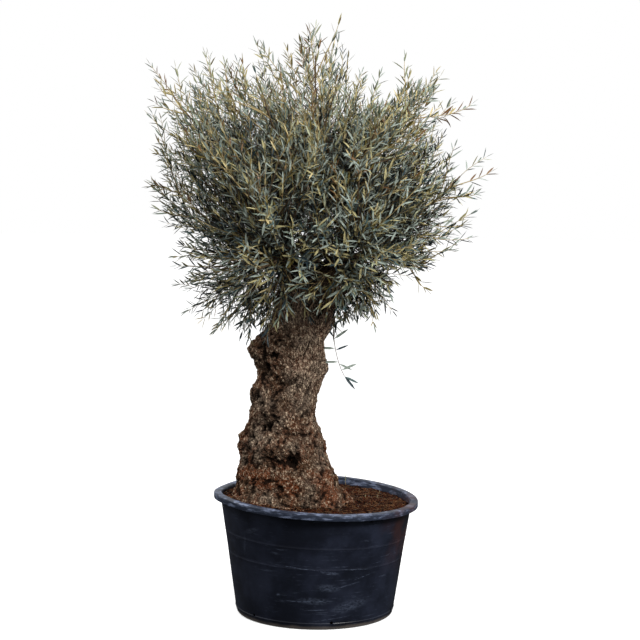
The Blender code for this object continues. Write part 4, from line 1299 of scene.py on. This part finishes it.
class Mass:
    """A stem with its twigs, shoots and leaves, gathered for two meshes."""

    def __init__(self, name):
        self.name = name
        self.chance = random.Random(f"{name} {SEED}")
        self.wood = Heap()
        self.roots, self.headings, self.faces, self.lengths, self.bends = [], [], [], [], []
        self.tints = []

    def limb(self, handles, foot, end, rings, sides, tint):
        path = bezier(handles, np.linspace(0, 1, rings))
        radii = np.linspace(foot, end, rings)
        faces = TUBE_FACES.setdefault((rings, sides), tube_faces(rings, sides))
        self.wood.add(tube_points(path, radii, sides), faces, tint)
        return path

    def shoot(self, start, heading, out, length):
        """A leafy shoot that leaves along its heading and bends to point out."""
        end = start + shoot_bound(heading, out) * length
        if not off_the_trunk(end) or not off_the_trunk((start + end) / 2) or before_the_trunk(end):
            return
        if self.chance.random() > fullness(end):
            return
        handles = (start, start + heading * length * 0.35, end - out * length * 0.35, end)
        self.limb(handles, *SHOOT_RADII, 6, 3, int(outer_share(end) > SUNLIT_SHARE))
        self.leaf_pairs(handles, length, 0.16)

    def leaf_pairs(self, handles, length, first, step=PAIR_STEP, size=1.0):
        chance = self.chance
        pairs = max(3, int(length * (1 - first) / step))
        shares = first + (1 - first) * (np.arange(pairs) + 0.5) / pairs
        points = bezier(handles, shares)
        ahead = bezier(handles, np.minimum(shares + 0.02, 1.02))
        along = ahead - points
        along /= np.linalg.norm(along, axis=1)[:, None]
        roll = chance.uniform(0, 180)
        tint = self.deal_tint(Vector(points[-1]))
        leaning, closing, play = PAIR_LEAN
        for k in range(pairs):
            growth = Vector(along[k])
            side = growth.orthogonal().normalized()
            near_tip = k / pairs
            for turn in (0, 180):
                lean = math.radians(leaning - closing * near_tip**2 + chance.uniform(-play, play))
                spin = math.radians(roll + 90 * k + turn + chance.uniform(-PAIR_SPIN, PAIR_SPIN))
                across = Matrix.Rotation(spin, 3, growth) @ side
                heading = growth * math.cos(lean) + across * math.sin(lean)
                face = growth * math.sin(lean) - across * math.cos(lean)
                length_here = size * LEAF_LENGTH * (1.08 - 0.42 * near_tip**3) * chance.uniform(0.78, 1.12)
                self.leaf(points[k], heading, face + UP * 0.5, length_here, tint)
        tip = Vector(bezier(handles, [1])[0])
        self.leaf(tip, Vector(along[-1]), UP + side * 0.3, size * LEAF_LENGTH * 0.7, tint)

    def leaf(self, root, heading, face, length, tint):
        chance = self.chance
        self.roots.append(tuple(root))
        self.headings.append(tuple(heading))
        self.faces.append(tuple(face))
        self.lengths.append(length)
        self.bends.append(chance.uniform(-0.10, 0.22))
        if chance.random() < 0.25 and tint < len(LEAF_TONES) - 2:
            tint = max(tint + chance.choice((-1, 1)), 0)
        under = len(LEAF_TONES) + (chance.random() < 0.3)
        self.tints += [tint] * 2 + [under] * 6

    def deal_tint(self, place):
        """One tone for a whole shoot, by where it lies in the crown: darker inside as painted shade, paler
        on top partly as painted light.
        """
        outer = outer_share(place)
        # Paler tones on the top are partly painted light, and dark tones on the inside are painted shade.
        top = smooth_step(0.20, 0.75, place.z - CROWN_HUB.z) * smooth_step(0.55, 0.85, outer)
        inner = 1 - smooth_step(0.55, 0.95, outer)
        shares = [row[2] * top + (row[3] * (1 - inner) + row[4] * inner) * (1 - top) for row in LEAF_TONES]
        return self.chance.choices(range(len(LEAF_TONES)), shares)[0]

    def build(self, stands_for):
        twig_finishes = [twig_finish, young_twig_finish]
        self.wood.build(f"twigs_{self.name}", twig_finishes, stands_for, "bough_bark")
        rows = (self.roots, self.headings, self.faces, self.lengths, self.bends)
        points = stamp_leaves(*(np.array(row, float) for row in rows))
        count = len(points)
        first = np.arange(count)[:, None, None] * points.shape[1]
        tops = (first + np.array(BLADE_TOP)).tolist()
        belows = (first + np.array(BLADE_BELOW)).tolist()
        faces = [face for top, below in zip(tops, belows) for face in top + below]
        add_piece(
            f"leaves_{self.name}", points.reshape(-1, 3).tolist(), faces, leaf_finishes, stands_for,
            self.tints, smooth=False,
        )
        return count


# %% [markdown]
# The growth itself is a few nested choices. Twigs are bound for goals, and a goal is the place,
# among sixty drawn at random, that lies farthest from every goal already reached. That rule
# spreads them as evenly as a real tree does by shading, and needs no physics.

# %% Grow every mass
GOAL_SPREAD = 0.55
STEM_RADII, TWIG_RADII = (0.0075, 0.0036), (0.0042, 0.0020)
LEADER_RADII = (0.0034, 0.0011)


def stem_handles(start, out, way, lift, size):
    """A stem's curve, from straight out of its bough to a place near the crown's edge."""
    lead = start + out * STEM_LEAD
    end = CROWN_HUB + way * (crown_reach(way) - SPRAY_LENGTH * size * 0.93)
    length = (end - lead).length
    late = end - (way + UP * lift).normalized() * length * 0.35
    return (start, lead + out * length * 0.2, late, end)


def goal_near(mass, room):
    """A random place on about the side of the crown where the mass's own middle lies."""
    chance = mass.chance
    way = room.own - CROWN_HUB + Vector([chance.uniform(-GOAL_SPREAD, GOAL_SPREAD) for _ in range(3)])
    way.normalize()
    share = GOAL_INNER + (GOAL_OUTER - GOAL_INNER) * chance.random() ** 0.7
    return CROWN_HUB + way * crown_reach(way) * share


def shoots_along(mass, handles, first, lift, outward, longest=1.0, past=0.0):
    """Shoots in turn round a twig, each cut shorter until its tip is within the crown, or little past it."""
    chance = mass.chance
    path = bezier(handles, np.linspace(0, 1, 40))
    length = np.linalg.norm(np.diff(path, axis=0), axis=1).sum()
    count = max(2, int(length * (1 - first) / SHOOT_STEP))
    roll = chance.uniform(0, 360)
    for k in range(count):
        share = first + (1 - first) * (k + 0.5) / count
        start, ahead = (Vector(p) for p in bezier(handles, [share, min(share + 0.03, 1.03)]))
        along = (ahead - start).normalized()
        roll += GOLDEN_ANGLE
        across = Matrix.Rotation(math.radians(roll), 3, along) @ along.orthogonal().normalized()
        lean = math.radians(SHOOT_LEAN + chance.uniform(-10, 14))
        heading = along * math.cos(lean) + across * math.sin(lean)
        radial = (start - CROWN_HUB).normalized()
        out = (radial * outward + along * 0.6 + heading * 0.5 + UP * lift).normalized()
        reach = chance.uniform(*SHOOT_LENGTH) * longest
        bound = shoot_bound(heading, out)
        while reach > SHOOT_LEAST and not within_reach(start + bound * reach, past):
            reach *= 0.85
        if reach > SHOOT_LEAST:
            mass.shoot(start, heading, out, reach)


def grow(name, way, start, out, lift, twigs, size):
    """One whole mass: its stem, twigs, shoots and leaders. Returns how many leaves it bears."""
    mass, room = Mass(name), Room(name)
    stem = stem_handles(start, out, way, lift, size)
    mass.limb(stem, *STEM_RADII, 14, 6, 0)
    stem_path = bezier(stem, np.linspace(0, 1, 30))
    mass.shoot(Vector(stem[3]), (stem[3] - stem[2]).normalized(), way, SPRAY_LENGTH * size * 0.7)
    reached = [Vector(stem[3])]
    for _ in range(round(twigs * TWIGS_EACH)):
        goals = [goal for goal in (goal_near(mass, room) for _ in range(TWIG_TRIES)) if room.holds(goal)]
        if not goals:
            continue
        goal = max(goals, key=lambda place: min((place - other).length for other in reached))
        reached.append(goal)
        grow_twig(mass, stem_path, goal, lift)
    shoots_along(mass, stem, 0.08, lift, 0.5)
    for _ in range(HEART_ROUNDS):
        shoots_along(mass, stem, 0.0, lift, 0.2, 0.8)
    for tip in leader_tips(mass, room):
        grow_leader(mass, stem_path, tip, lift)
    return mass.build([name])


def twig_handles(stem_path, goal, lift):
    """A curve to the goal from where on the stem it would lean least from the usual angle."""
    best = None
    for k in range(3, 26):
        root, along = Vector(stem_path[k]), Vector(stem_path[k + 1] - stem_path[k]).normalized()
        off = abs(math.degrees((goal - root).angle(along)) - TWIG_LEAN)
        if best is None or off < best[0]:
            best = (off, root, along)
    _, root, along = best
    length = (goal - root).length
    heading = ((goal - root).normalized() + along * 0.5 - UP * lift * 0.3).normalized()
    out = ((goal - CROWN_HUB).normalized() * 0.6 + (goal - root).normalized() + UP * lift).normalized()
    return (root, root + heading * length * 0.35, goal - out * length * 0.3, goal)


def grow_twig(mass, stem_path, goal, lift):
    handles = twig_handles(stem_path, goal, lift)
    if not off_the_trunk(goal) or not off_the_trunk(Vector(bezier(handles, [0.6])[0])):
        return
    mass.limb(handles, *TWIG_RADII, 10, 5, 0)
    out = (handles[3] - handles[2]).normalized()
    mass.shoot(goal, out, out, mass.chance.uniform(SHOOT_LEAST, SHOOT_LEAST * 2.4))
    shoots_along(mass, handles, 0.16, lift, 0.35)


def leader_tips(mass, room):
    """The listed tips that lie nearest to this mass, and some of its own at the crown's reach."""
    tips = [Vector(tip) for tip in LEADER_TIPS]
    own = [tip for tip in tips if min(middles, key=lambda name: (middles[name] - tip).length) == mass.name]
    chance = mass.chance
    for _ in range(LEADERS_EACH):
        way = (room.own - CROWN_HUB).normalized() + Vector([chance.uniform(-0.4, 0.4) for _ in range(3)])
        way.normalize()
        own.append(CROWN_HUB + way * crown_reach(way) * chance.uniform(0.90, 0.98))
    return own


def grow_leader(mass, stem_path, tip, lift):
    """A long shoot to the crown's very edge, with leaves on its outer half and a few side shoots."""
    end = tip - (tip - CROWN_HUB).normalized() * LEAF_LENGTH * 0.8
    handles = twig_handles(stem_path, end, lift)
    if not off_the_trunk(end) or not off_the_trunk(Vector(bezier(handles, [0.6])[0])):
        return
    path = mass.limb(handles, *LEADER_RADII, 16, 4, 1)
    length = np.linalg.norm(np.diff(path, axis=0), axis=1).sum()
    mass.leaf_pairs(handles, length, 0.40, LEADER_STEP, 1.08)
    shoots_along(mass, handles, 0.35, lift, 0.35, 0.62, PAST_THE_EDGE)


leaf_total = 0
for plan in plans:
    leaf_total += grow(*plan)
print("leaves on the crown:", leaf_total)

# %% [markdown]
# ## The shoot that hangs from the trunk
# One thin sucker leaves the trunk's right flank and hangs beside it, with its leaves far apart and
# most of them turned up. A ray onto the trunk's skin places its foot, so it starts in the bark.

# %% Grow the hanging shoot
SHOOT_AZIMUTH = -11
SHOOT_HEIGHT = 1.455
SHOOT_ROUTE = ((0.008, -0.005), (-0.022, -0.150), (0.058, -0.290))
HANGING_LEAF = 0.080
# Each leaf's place along the shoot, and its lean from straight down: to the right, or to the left.
HANGING_LEAVES = (
    (0.14, 70), (0.14, -105), (0.38, 124), (0.40, -122), (0.56, -146), (0.58, 127), (0.69, -92),
    (0.71, 112), (0.84, -90), (0.86, 66), (0.93, 115), (1.00, 40), (1.00, 64),
)
hanging = Mass("hanging_shoot")
side_way = direction(SHOOT_AZIMUTH, 0)
root, out, _, _ = skin_tree.ray_cast(fork + side_way + UP * (SHOOT_HEIGHT - fork.z), -side_way)
knees = [root + side_way * aside + UP * drop for aside, drop in SHOOT_ROUTE]
hanging_handles = (root - out * 0.01, knees[0] + UP * 0.04, knees[1], knees[2])
hanging.limb(hanging_handles, 0.0026, 0.0014, 14, 5, 0)
towards = Vector((0, -1, 0.3))
for share, lean in HANGING_LEAVES:
    place = Vector(bezier(hanging_handles, [share])[0])
    heading = Matrix.Rotation(math.radians(-lean), 3, "Y") @ -UP
    size = HANGING_LEAF * hanging.chance.uniform(0.85, 1.1)
    hanging.leaf(place, heading, towards, size, hanging.chance.choice((0, 0, 1)))
print("leaves on the hanging shoot:", hanging.build(["hanging_shoot"]))

# %% [markdown]
# ## Seedlings
# A few weeds have come up in the soil's sunny right half. Each is a thin stem with small leaves
# that stand out all round it, made by the same kit as the crown's shoots but fresh green.

# %% Plant the seedlings
# Each seedling's X, Y and height.
SEEDLINGS = ((0.149, 0.395, 0.050), (0.246, 0.130, 0.015), (0.308, 0.130, 0.018), (0.320, 0.270, 0.013))
SEEDLING_LEAF = (0.30, 0.55)  # of the stem's height
SEEDLING_TONE = len(LEAF_TONES) - 1
weeds = Mass("seedlings")
for x, y, height in SEEDLINGS:
    foot = Vector((x, y, soil_height(x, y) - 0.002))
    top = foot + Vector((weeds.chance.uniform(-0.2, 0.2), weeds.chance.uniform(-0.2, 0.2), 1)) * height
    stem = (foot, foot + UP * height * 0.3, top - UP * height * 0.3, top)
    weeds.limb(stem, 0.0010, 0.0006, 5, 3, 1)
    for k in range(6):
        place = Vector(bezier(stem, [0.4 + 0.12 * k])[0])
        heading = direction(GOLDEN_ANGLE * k + 360 * weeds.chance.random(), 30)
        weeds.leaf(place, heading, UP, height * weeds.chance.uniform(*SEEDLING_LEAF), SEEDLING_TONE)
print("leaves on the seedlings:", weeds.build(["soil"]))

# %% [markdown]
# ## Measure
# The dressed tree's box is printed, as the solid model's box was at the start. The dressed tree
# must stay within the solid model's box, with a little to spare for leaf tips.

# %% Print the dressed tree's box
visual_box = [list(corner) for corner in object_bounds()]
print("visual box:", [[round(v, 3) for v in c] for c in visual_box])
